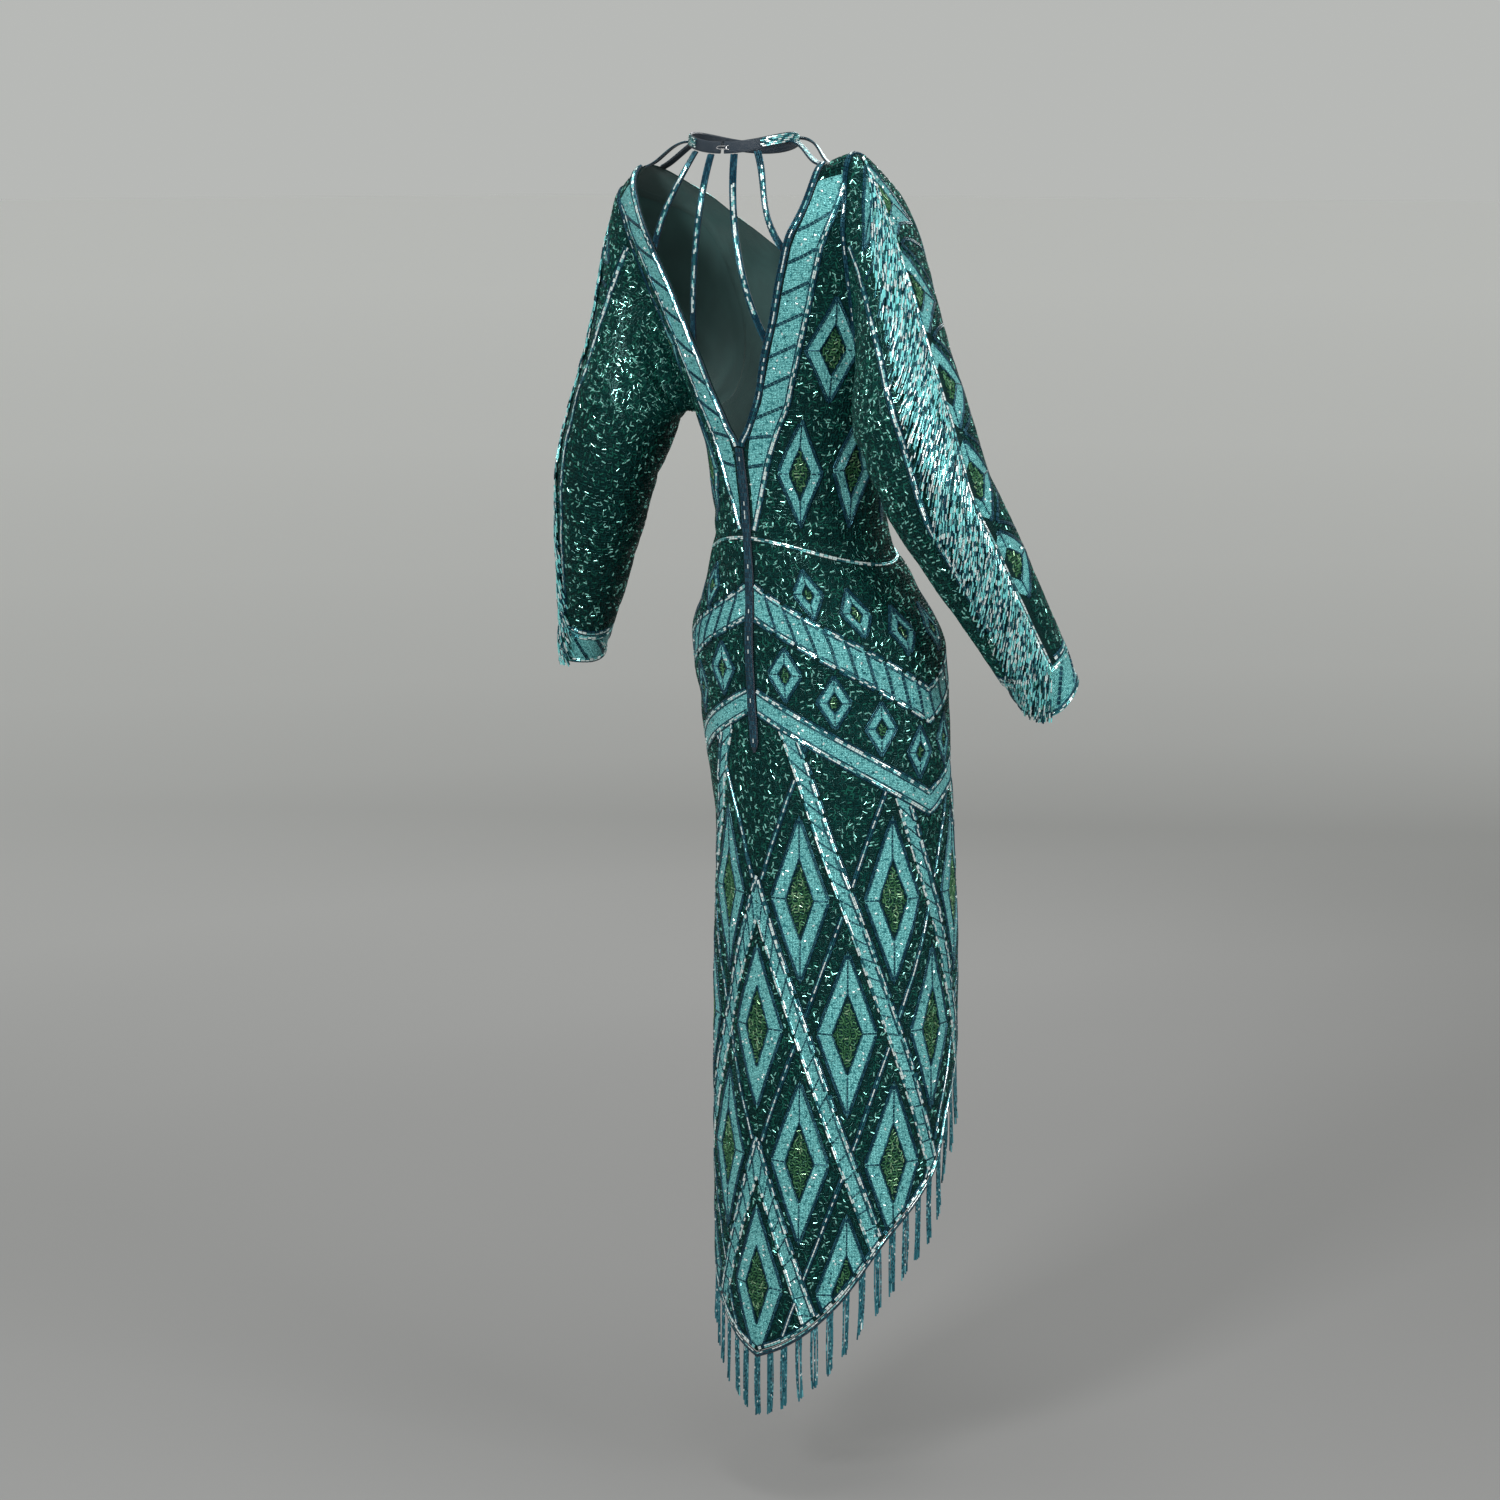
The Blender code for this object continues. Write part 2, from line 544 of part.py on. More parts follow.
left_sleeve_grid = sleeve_grid(1, LEFT_ARM_ROWS, armhole_loop(left_back_grid, left_front_half))
right_sleeve_grid = sleeve_grid(-1, RIGHT_ARM_ROWS,
                                armhole_loop(right_back_grid, right_front_half))
left_cuff_grid = cuff_grid(1, LEFT_ARM_ROWS)
right_cuff_grid = cuff_grid(-1, RIGHT_ARM_ROWS)
for name, grid, cloth in (("sleeve_left", left_sleeve_grid, beaded_cloth),
                          ("sleeve_right", right_sleeve_grid, beaded_cloth),
                          ("cuff_left", left_cuff_grid, turquoise_cloth),
                          ("cuff_right", right_cuff_grid, turquoise_cloth)):
    wall(name, grid, grid.mean(axis=1), cloth, closed=True)


# --- collar ------------------------------------------------------------------------------------
def collar_point(turn, height=0.0, outward=0.0):
    """Point on the collar's outer face; height is from its middle line."""
    angle = math.radians(turn - COLLAR_TURN)
    dip = COLLAR_RISE - COLLAR_DIP * math.cos(math.radians(turn)) ** 2
    radius = COLLAR_RADIUS + outward - COLLAR_SLOPE * height
    return np.array([radius * math.sin(angle), radius * math.cos(angle), dip + height])


collar_turns = np.linspace(COLLAR_SLIT / 2, 360.0 - COLLAR_SLIT / 2, 37)
collar_grid = np.array([[collar_point(turn, height) for turn in collar_turns]
                        for height in (COLLAR_HEIGHT / 2, 0.0, -COLLAR_HEIGHT / 2)])
wall("collar", collar_grid, collar_grid.mean(axis=1), navy_satin, thickness=COLLAR_THICKNESS)

hook_run = [collar_point(turn, height, HOOK_WIRE / 2 + LAID) for turn, height in HOOK_ROWS]
hook_curve = bpy.data.curves.new("hook", "CURVE")
hook_curve.dimensions = "3D"
hook_curve.bevel_depth = HOOK_WIRE / 2
hook_curve.bevel_resolution = 1
hook_curve.use_fill_caps = True
hook_line = hook_curve.splines.new("POLY")
hook_line.points.add(len(hook_run) - 1)
for knot, place in zip(hook_line.points, hook_run):
    knot.co = (*place, 1.0)
hook = bpy.data.objects.new("collar_hook", hook_curve)
hook_curve.materials.append(bright_steel)
gown.objects.link(hook)


# --- straps ------------------------------------------------------------------------------------
def curve_between(start, leaving, end, arriving, count):
    """Smooth line from one point and heading to another."""
    pull = np.linalg.norm(end - start)
    t = np.linspace(0, 1, count)[:, None]
    t2, t3 = t * t, t * t * t
    return ((2 * t3 - 3 * t2 + 1) * start + (t3 - 2 * t2 + t) * leaving * pull
            + (3 * t2 - 2 * t3) * end + (t3 - t2) * arriving * pull)


def outward_normals(grid, centres, closed=False):
    """Normals at the points of a grid, turned away from its rows' centres."""
    normals = grid_normals(grid, closed)
    away = np.sum(normals * (grid - centres[:, None, :]), axis=-1, keepdims=True)
    return np.where(away < 0, -normals, normals)


class BodyCloth:
    """A back or front half with its first column at the middle, and its outward normals."""

    def __init__(self, grid):
        self.grid = grid
        self.normals = outward_normals(grid, body_centres(grid))

    def row_at_level(self, level):
        rows = np.arange(self.grid.shape[0])
        return float(np.interp(-level, -self.grid[:, 0, 2], rows))

    def over(self, row, distance, lift):
        """Point a distance from the first column, lifted off the outer face."""
        cols = np.arange(self.grid.shape[1])
        line = np.array([between(self.grid, row, col) for col in cols])
        col = float(np.interp(distance, lengths_along(line), cols))
        normal = between(self.normals, row, col)
        return between(self.grid, row, col) + normal / np.linalg.norm(normal) * lift


def on_line(line, at):
    """Point of a line of points at a broken index."""
    return np.array([np.interp(at, np.arange(len(line)), line[:, axis]) for axis in range(3)])


def beside_edge(edge, normals, at, side):
    """Point just outside a panel's edge, and the way into its cloth from there."""
    facing = on_line(normals, at)
    facing /= np.linalg.norm(facing)
    into = np.cross(facing, on_line(edge, at + 0.5) - on_line(edge, at - 0.5))
    into *= side * np.sign(into[0]) / np.linalg.norm(into)
    return on_line(edge, at) - into * STRAP_PART - facing * LAID / 2, into


def strap(name, collar_turns, collar_height, collar_out, leaving, ends, arriving, count):
    """A strap from the collar to a panel's edge, between its two side lines."""
    rails = []
    for turn, end in zip(collar_turns, ends):
        start = collar_point(turn, collar_height, collar_out)
        rails.append(curve_between(start, leaving, end, arriving, count))
    grid = np.stack(rails, axis=1)
    inside = grid.mean(axis=1)
    inside -= (0.0, 0.0, 1.0) if abs(leaving[2]) < 0.5 else leaving * (1.0, 1.0, 0.0)
    return wall(name, grid, inside, bead_band, thickness=BAND)


back_cloth = {1: BodyCloth(left_back_grid), -1: BodyCloth(right_back_grid)}
fore_cloth = {1: BodyCloth(left_front_half), -1: BodyCloth(right_front_half)}
SIDE_NAMES = {1: "left", -1: "right"}
STRAP_TURN = math.degrees(STRAP_WIDTH / 2 / COLLAR_RADIUS)

for side, side_name in SIDE_NAMES.items():
    cloth = back_cloth[side]
    v_edge = (cloth.grid[:, 0], cloth.normals[:, 0])
    for name, turn, level, span, out, leave_side, arrive_side in BACK_STRAP_ROWS:
        radial = collar_point(side * turn) * (1.0, 1.0, 0.0) / COLLAR_RADIUS
        leaving = radial * out + np.array([side * leave_side, 0.0, LEAVE_DOWN])
        ends = [beside_edge(*v_edge, cloth.row_at_level(level + step * span / 2), side)[0]
                for step in (-1, 1)]
        strap(f"strap_back_{name}_{side_name}",
              (side * (turn - STRAP_TURN), side * (turn + STRAP_TURN)),
              -COLLAR_HEIGHT / 2 - LAID, 0.0, leaving, ends,
              np.array([side * arrive_side, ARRIVE_FORE, ARRIVE_DOWN]), BACK_STRAP_POINTS)
    front = fore_cloth[side]
    neck_edge = (front.grid[:, 0], front.normals[:, 0])
    for name, turn, height, from_seam in TOP_STRAP_ROWS:
        edge = v_edge if name == "shoulder" else neck_edge
        reach = lengths_along(edge[0])
        ends = [beside_edge(*edge, np.interp(length, reach, np.arange(len(reach))), side)
                for length in (from_seam + STRAP_WIDTH, from_seam)]
        arriving = np.mean([into for _, into in ends], axis=0)
        ends = [place for place, _ in ends]
        if name == "fore":
            ends.reverse()
        radial = collar_point(side * turn) * (1.0, 1.0, 0.0) / COLLAR_RADIUS
        strap(f"strap_{name}_{side_name}",
              (side * (turn - STRAP_TURN), side * (turn + STRAP_TURN)),
              height, LAID + COLLAR_SLOPE * BAND, radial * TOP_STRAP_PULL, ends,
              arriving * TOP_STRAP_PULL, TOP_STRAP_POINTS)

# --- bindings of the back V, placket and zip tape ------------------------------------------------
for side, side_name in SIDE_NAMES.items():
    cloth = back_cloth[side]
    last = len(CROWN_LENGTHS) + ARMHOLE_STEPS + 1
    rows = [BINDING_START] + list(range(1, last + 1))
    grid = np.array([[between(cloth.grid, row, col) + (LAID + BAND) * between(cloth.normals, row, col)
                      for col in (0, 1)] for row in rows])
    wall(f"binding_back_{side_name}", grid, body_centres(grid), bead_band, thickness=BAND)


def centre_back_band(name, top, end, half_width, lift, thickness, material, end_share):
    """A band over the centre back seam, on the outside or under the cloth."""
    first, last = (back_cloth[1].row_at_level(level) for level in (top, end))
    rows = [first] + list(range(math.floor(first) + 1, math.ceil(last))) + [last]
    places = []
    for row in rows:
        half = half_width * (end_share if row == last else 1.0)
        left, near_left = (back_cloth[1].over(row, d, lift) for d in (half, half * BAND_NEAR))
        near_right, right = (back_cloth[-1].over(row, d, lift) for d in (half * BAND_NEAR, half))
        places.append([right, near_right, near_left, left])
    grid = np.array(places)
    return wall(name, grid, body_centres(grid), material, thickness=thickness)


centre_back_band("placket", PLACKET_TOP, PLACKET_END, PLACKET_WIDTH / 2, LAID + BAND, BAND,
                 navy_satin, PLACKET_POINT)
centre_back_band("zip_tape", ZIP_TOP, ZIP_END, ZIP_TAPE_WIDTH / 2, -(CLOTH + LAID), ZIP_TAPE,
                 navy_satin, 1.0)


# --- fringes -----------------------------------------------------------------------------------
def hang(bm, root_face, places):
    """Extrude a strand from a face of its trim, through the four corners of each place."""
    face = root_face
    corners = [vert.co.copy() for vert in face.verts]
    for place in places:
        face = bmesh.ops.extrude_discrete_faces(bm, faces=[face])["faces"][0]
        order = [min(range(4), key=lambda i: (corners[i] - vert.co).length)
                 for vert in face.verts]
        for index, vert in zip(order, face.verts):
            vert.co = Vector(place[index])
        corners = [Vector(corner) for corner in place]


ring_low = form_ring(HEM_POINT)
skirt_centre = np.array([ring_low[0], ring_low[1], 0.0])


def hem_line():
    """Turns and outer points of the hem, all round the skirt."""
    points = np.concatenate([left_back_grid[-1], left_front_half[-1][::-1],
                             right_front_half[-1][1:], right_back_grid[-1][::-1]])
    around = points[:, :2] - skirt_centre[:2]
    half_width, back, fore = ring_low[2:5]
    depth = np.where(around[:, 1] > 0, back, fore)
    turns = np.degrees(np.arctan2(around[:, 0] / half_width, around[:, 1] / depth))
    return np.mod(turns, 360.0), points


hem_turns, hem_points = hem_line()


def on_hem(turn):
    return np.array([np.interp(turn, hem_turns, hem_points[:, axis], period=360.0)
                     for axis in range(3)])


def hem_corner(turn, inner, below):
    """Corner of the hem trim: at its outer or inner face, some way below the hem's edge."""
    place = on_hem(turn)
    ahead = on_hem(turn + 1.0) - place
    slope = abs(ahead[2]) / np.linalg.norm(ahead[:2])
    outward = (place - skirt_centre) * (1.0, 1.0, 0.0)
    place = place - outward / np.linalg.norm(outward) * (CLOTH if inner else 0.0)
    place[2] -= TRIM_PART * math.sqrt(1 + slope * slope) + below
    return place


hem_bm = bmesh.new()
cuts = []
for tassel in range(HEM_TASSELS):
    middle_turn = tassel * 360.0 / HEM_TASSELS
    near, far = STRAND_PARTING / 2, STRAND_PARTING / 2 + STRAND_TURN
    cuts.extend([middle_turn - far, middle_turn - near, middle_turn + near, middle_turn + far])
rings = [[hem_bm.verts.new(hem_corner(turn, inner, below))
          for inner, below in ((False, 0.0), (False, TRIM_HEIGHT), (True, TRIM_HEIGHT), (True, 0.0))]
         for turn in cuts]
lower_faces = []
for index, ring in enumerate(rings):
    following = rings[(index + 1) % len(rings)]
    for corner in range(4):
        nxt = (corner + 1) % 4
        face = hem_bm.faces.new((ring[corner], following[corner], following[nxt], ring[nxt]))
        if corner == 1:
            lower_faces.append(face)
for index in range(0, len(lower_faces), 2):
    face = lower_faces[index]
    corners = [np.array(vert.co) for vert in face.verts]
    root = np.mean(corners, axis=0)
    onward = np.cross((0.0, 0.0, 1.0), root - skirt_centre)
    onward /= np.linalg.norm(onward)
    foot = root + onward * HEM_STRAND_SPREAD * (1 if index % 4 == 0 else -1)
    foot[2] -= HEM_STRAND_DROP * (1.0 + HEM_STRAND_UNEVEN * math.sin(HEM_UNEVEN_STEP * index))
    flat = (HEM_STRAND_FOOT, HEM_STRAND_FOOT, 0.0)
    hang(hem_bm, face, [[foot + (corner - root) * flat for corner in corners]])
bmesh.ops.recalc_face_normals(hem_bm, faces=hem_bm.faces)
add_object("fringe_hem", hem_bm, fringe_beads)


class ArmCloth:
    """A sleeve with its cuff, and places on it from lengths down and round the arm."""

    def __init__(self, sleeve, cuff):
        self.grid = np.concatenate([sleeve[1:], cuff[1:]])
        self.centres = self.grid.mean(axis=1)
        self.normals = outward_normals(self.grid, self.centres, closed=True)
        self.reach = lengths_along(self.grid[:, 0])
        closed = np.concatenate([self.grid, self.grid[:, :1]], axis=1)
        girth = np.linalg.norm(np.diff(closed, axis=1), axis=-1).sum(axis=1)
        self.column_width = girth / SLEEVE_COLUMNS

    def over(self, down, line_col, round_way, lift):
        rows = np.arange(len(self.reach))
        row = float(np.interp(down, self.reach, rows))
        col = line_col + round_way / float(np.interp(row, rows, self.column_width))
        normal = between(self.normals, row, col, closed=True)
        place = between(self.grid, row, col, closed=True) + normal / np.linalg.norm(normal) * lift
        last_heading = self.centres[-1] - self.centres[-2]
        past = max(down - self.reach[-1], 0.0)
        return place + last_heading / np.linalg.norm(last_heading) * past


def sleeve_fringe(name, cloth, sweep, first, last):
    """Trim down part of a sleeve, with strands fused to its back edge."""
    whole = cloth.reach[-1]
    step = (last - first) / SLEEVE_STRANDS
    bm = bmesh.new()

    def line_col(down):
        return TRIM_TOP_COL + (TRIM_END_COL - TRIM_TOP_COL) * down / whole

    downs = []
    for strand in range(SLEEVE_STRANDS):
        root = first + strand * step
        downs.extend([root, root + STRAND_ROOT])
    top = SLEEVE_TRIM_LAID + SLEEVE_TRIM
    section = ((0.0, SLEEVE_TRIM_LAID), (0.0, top),
               (SLEEVE_TRIM_WIDTH, top), (SLEEVE_TRIM_WIDTH, SLEEVE_TRIM_LAID))
    loops = [[bm.verts.new(cloth.over(down, line_col(down), round_way, lift))
              for round_way, lift in section] for down in downs]
    roots = []
    for index in range(len(loops) - 1):
        for corner in range(4):
            nxt = (corner + 1) % 4
            face = bm.faces.new((loops[index][corner], loops[index + 1][corner],
                                 loops[index + 1][nxt], loops[index][nxt]))
            if corner == 2 and index % 2 == 0:
                roots.append((downs[index], face))
    bm.faces.new(loops[0])
    bm.faces.new(loops[-1][::-1])
    for down, face in roots:
        drop = min(SLEEVE_STRAND_DROP, whole + PAST_CUFF - down)
        places = []
        for share, girth, low, high in SLEEVE_STRAND_ROWS:
            end = down + STRAND_ROOT / 2 + drop * share
            swing = SLEEVE_TRIM_WIDTH + STRAND_GIRTH + drop * share * sweep
            half = STRAND_GIRTH / 2 * girth
            places.append([cloth.over(end, line_col(down), swing + across, lift)
                           for across, lift in ((half, high), (-half, high),
                                                (-half, low), (half, low))])
        hang(bm, face, places)
    bmesh.ops.recalc_face_normals(bm, faces=bm.faces)
    return add_object(name, bm, fringe_beads)


for side, sleeve, cuff in ((1, left_sleeve_grid, left_cuff_grid),
                           (-1, right_sleeve_grid, right_cuff_grid)):
    arm_cloth = ArmCloth(sleeve, cuff)
    sleeve_end = arm_cloth.reach[len(sleeve) - 2]
    halfway = (SLEEVE_FRINGE_TOP + sleeve_end) / 2
    for part, first, last in (("upper", SLEEVE_FRINGE_TOP, halfway),
                              ("lower", halfway, sleeve_end - STRAND_ROOT)):
        sleeve_fringe(f"fringe_{part}_sleeve_{SIDE_NAMES[side]}", arm_cloth,
                      SLEEVE_SWEEP[side], first, last)
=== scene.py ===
"""Long beaded evening gown, worn and hollow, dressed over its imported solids.

Metres, +Z up. The front faces -Y and +X is the wearer's left. A turn is an angle round the body
from the centre back: 90 is the left side seam, 180 the centre front. A level is a height.
"""
import math

import bpy
import numpy as np
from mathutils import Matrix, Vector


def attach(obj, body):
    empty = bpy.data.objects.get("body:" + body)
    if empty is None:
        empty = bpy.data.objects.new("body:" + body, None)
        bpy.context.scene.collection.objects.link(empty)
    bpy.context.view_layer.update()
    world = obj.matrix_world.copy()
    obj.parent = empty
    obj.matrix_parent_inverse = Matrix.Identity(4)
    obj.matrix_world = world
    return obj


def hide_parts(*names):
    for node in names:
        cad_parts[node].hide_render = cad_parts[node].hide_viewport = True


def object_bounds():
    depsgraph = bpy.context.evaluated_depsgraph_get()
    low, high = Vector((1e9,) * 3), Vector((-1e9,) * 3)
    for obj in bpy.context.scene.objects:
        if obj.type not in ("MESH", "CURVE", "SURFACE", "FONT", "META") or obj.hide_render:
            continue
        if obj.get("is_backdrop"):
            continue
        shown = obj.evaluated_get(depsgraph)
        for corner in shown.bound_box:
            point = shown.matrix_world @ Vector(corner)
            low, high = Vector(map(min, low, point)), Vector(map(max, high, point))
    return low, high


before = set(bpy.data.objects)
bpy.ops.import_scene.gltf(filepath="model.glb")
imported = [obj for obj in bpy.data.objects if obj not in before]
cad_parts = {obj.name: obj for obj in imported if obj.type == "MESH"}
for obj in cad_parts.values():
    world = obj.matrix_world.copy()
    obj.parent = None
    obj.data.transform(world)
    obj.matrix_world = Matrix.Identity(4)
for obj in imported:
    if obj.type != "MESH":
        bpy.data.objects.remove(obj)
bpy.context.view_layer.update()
bpy.ops.object.select_all(action="DESELECT")

# --- camera, floor and light -------------------------------------------------------------------
# The gown is seen from behind and from the wearer's right, a little from above, through a long
# lens. Around it are a soft grey studio with large lamps and a paper floor whose grey is painted
# shade: darker towards a place right of the gown and paler far off, as the lamps' light falls.
SEEN_FROM = 223.0                 # degrees round the gown from the front
SEEN_ABOVE = 9.0
CAMERA_AWAY = 4.2
LOOKED_AT = (-0.0049, -0.0046, -0.679)
LENS = 89.3
FLOOR = -1.53
FLOOR_SIZE, FARTHEST_SEEN = 240.0, 400.0
FLOOR_SHADE_RIGHT = 1.2               # metres to the right of the gown in the view, where the floor's painted shade is deepest
PAPER_SHADE_ROWS = (                    # metres from the darkest place, grey of the paper there with its painted shade
    (0.8, 0.225), (1.8, 0.25), (2.4, 0.277), (2.8, 0.305), (3.4, 0.362), (3.9, 0.435),
    (4.6, 0.535), (5.5, 0.645), (7.0, 0.745), (10.0, 0.84), (16.0, 0.925), (40.0, 1.0),
)
LAMP_ROWS = (                     # name, right of the view, above, towards the camera, size, power
    ("key", -1.5, 1.3, 2.6, 0.6, 66.0),
    ("fill", 2.3, 0.6, 2.0, 1.2, 46.0),
    ("top", 0.3, 2.6, 0.4, 1.2, 32.0),
    ("far", 0.4, 1.6, -3.0, 1.6, 40.0),
)


def feed(tree, node, inputs):
    """Set a shader node's inputs, each to a value or to another node's output."""
    for socket, value in inputs.items():
        if isinstance(value, bpy.types.NodeSocket):
            tree.links.new(value, node.inputs[socket])
        else:
            node.inputs[socket].default_value = value


def add_node(tree, kind, inputs, **settings):
    node = tree.nodes.new("ShaderNode" + kind)
    for name, value in settings.items():
        setattr(node, name, value)
    feed(tree, node, inputs)
    return node


def new_material(name, inputs):
    """A material with its shader's inputs set, its node tree and the shader."""
    material = bpy.data.materials.new(name)
    material.use_nodes = True
    tree = material.node_tree
    feed(tree, tree.nodes["Principled BSDF"], inputs)
    return material, tree, tree.nodes["Principled BSDF"]


angle, rise = math.radians(SEEN_FROM), math.radians(SEEN_ABOVE)
flat_near = np.array([math.sin(angle), -math.cos(angle), 0.0])
towards_camera = flat_near * math.cos(rise) + (0.0, 0.0, math.sin(rise))
to_the_right = np.array([math.cos(angle), math.sin(angle), 0.0])
bpy.ops.object.camera_add(location=np.array(LOOKED_AT) + towards_camera * CAMERA_AWAY,
                          rotation=(math.pi / 2 - rise, 0.0, angle))
camera = bpy.context.object
camera.data.lens = LENS
camera.data.clip_end = FARTHEST_SEEN
bpy.context.scene.camera = camera

bpy.ops.mesh.primitive_plane_add(size=FLOOR_SIZE, location=(0.0, 0.0, FLOOR))
floor = bpy.context.object
floor.name = "floor"
paper, tree, shader = new_material("pale_paper_painted_shade", {"Roughness": 0.8, "Specular IOR Level": 0.1})
place = add_node(tree, "TexCoord", {})
darkest = Vector(to_the_right * FLOOR_SHADE_RIGHT)
away = add_node(tree, "VectorMath", {0: place.outputs["Object"], 1: darkest}, operation="DISTANCE")
share = add_node(tree, "Math", {0: away.outputs["Value"], 1: PAPER_SHADE_ROWS[-1][0]}, operation="DIVIDE")
# painted shade on the floor: its grey darkens towards the place right of the gown, standing for the
# shadow and the falloff of the lamps
tint = add_node(tree, "ValToRGB", {"Fac": share.outputs["Value"]})
tint.color_ramp.interpolation = "B_SPLINE"
for _ in PAPER_SHADE_ROWS[2:]:
    tint.color_ramp.elements.new(0.5)
for stop, (reach, grey) in zip(tint.color_ramp.elements, PAPER_SHADE_ROWS):
    stop.position = reach / PAPER_SHADE_ROWS[-1][0]
    stop.color = (grey, grey, grey * 0.99, 1)
feed(tree, shader, {"Base Color": tint.outputs["Color"]})
floor.data.materials.append(paper)
floor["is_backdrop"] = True

studio = bpy.data.worlds.new("studio")
studio.use_nodes = True
feed(studio.node_tree, studio.node_tree.nodes["Background"],
     {"Color": (0.475, 0.485, 0.47, 1), "Strength": 1.0})
bpy.context.scene.world = studio
bpy.context.scene.view_settings.view_transform = "Standard"

for name, across, above, near, size, power in LAMP_ROWS:
    lamp = bpy.data.lights.new(name, "AREA")
    lamp.size = size
    lamp.energy = power
    holder = bpy.data.objects.new(name, lamp)
    aside = to_the_right * across + flat_near * near + (0.0, 0.0, above)
    holder.location = LOOKED_AT + aside
    holder.rotation_euler = Vector(-aside).to_track_quat("-Z", "Y").to_euler()
    bpy.context.scene.collection.objects.link(holder)

# --- body cloth --------------------------------------------------------------------------------
# The body is two backs and a front of dark teal cloth, cut close over a general figure and heavy
# with beads. Its form is the solids' own, with soft creases where the cloth strains.
FORM_ROWS = (                     # level, side and fore shift, half width, back, fore, squareness
    (-0.024, -0.004, 0.015, 0.186, 0.001, 0.001, 2.5),
    (-0.0255, -0.0045, 0.0145, 0.1865, 0.013, 0.013, 2.5),
    (-0.031, -0.006, 0.0125, 0.187, 0.028, 0.029, 2.5),
    (-0.043, -0.009, 0.008, 0.188, 0.045, 0.052, 2.5),
    (-0.065, -0.015, -0.004, 0.188, 0.07, 0.078, 2.5),
    (-0.105, -0.023, -0.021, 0.184, 0.099, 0.094, 2.5),
    (-0.16, -0.028, -0.037, 0.172, 0.108, 0.104, 2.4),
    (-0.22, -0.032, -0.047, 0.152, 0.109, 0.115, 2.3),
    (-0.3, -0.036, -0.055, 0.123, 0.105, 0.106, 2.1),
    (-0.345, -0.0385, -0.056, 0.11, 0.102, 0.094, 2.0),
    (-0.42, -0.042, -0.048, 0.102, 0.088, 0.088, 2.0),
    (-0.485, -0.047, -0.058, 0.128, 0.098, 0.1, 2.0),
    (-0.554, -0.049, -0.069, 0.161, 0.112, 0.112, 2.0),
    (-0.68, -0.06, -0.075, 0.15, 0.12, 0.118, 2.0),
    (-0.76, -0.065, -0.083, 0.139, 0.131, 0.128, 2.0),
    (-0.9, -0.065, -0.085, 0.142, 0.133, 0.132, 2.0),
    (-1.4, -0.065, -0.085, 0.142, 0.133, 0.132, 2.0),
)
SHOULDER_ROWS = ((-0.2, 0.012), (-0.176, 0.01), (-0.14, 0.001), (-0.1, 0.0),
                 (0.09, 0.0), (0.129, -0.002), (0.15, -0.015), (0.168, -0.027),
                 (0.19, -0.033))
SHOULDER_BASE = -0.16
CROWN = -0.024
YOKE_BASE = -0.345
HIP_BASE = -0.76
HEM_POINT = -1.358
BACK_V_ROWS = (                   # level, half the gap
    (-0.331, 0.0004), (-0.31, 0.012), (-0.275, 0.03), (-0.235, 0.045),
    (-0.2, 0.0605), (-0.15, 0.081), (-0.105, 0.101), (-0.07, 0.121),
    (-0.043, 0.131), (-0.024, 0.134),
)
NECKLINE_ROWS = (
    (-0.14, 0.0), (-0.137, 0.035), (-0.126, 0.07), (-0.104, 0.097),
    (-0.075, 0.119), (-0.043, 0.131), (-0.024, 0.134),
)
ARMPIT = -0.3
ARMHOLE_ROWS = (                  # level, degrees behind the side seam, degrees before it
    (ARMPIT, 0.0, 0.0), (-0.29, 9.0, 10.0), (-0.265, 17.0, 21.0), (-0.22, 25.0, 31.0),
    (-0.16, 31.0, 38.0), (-0.105, 33.0, 40.0), (-0.07, 31.0, 36.0), (-0.043, 28.0, 30.0),
    (-0.024, 25.0, 25.0),
)
DEGREE_LENGTH = 0.0023
HEM_ROWS = (                      # turn, rise over the lowest point
    (0.0, 0.0), (13.0, 0.015), (26.0, 0.037), (40.0, 0.07), (65.0, 0.149), (83.0, 0.19),
    (94.0, 0.22), (104.0, 0.271), (120.0, 0.328), (150.0, 0.395), (180.0, 0.42),
)
SEAM = 0.0007                     # the gap where two panels meet
CLOTH = 0.0014
CROWN_REACH = 0.012               # the first row of the sleeve lies this far under the crown
FINE = 301                        # points on a finely drawn line
SIDES = ((1, "left"), (-1, "right"))
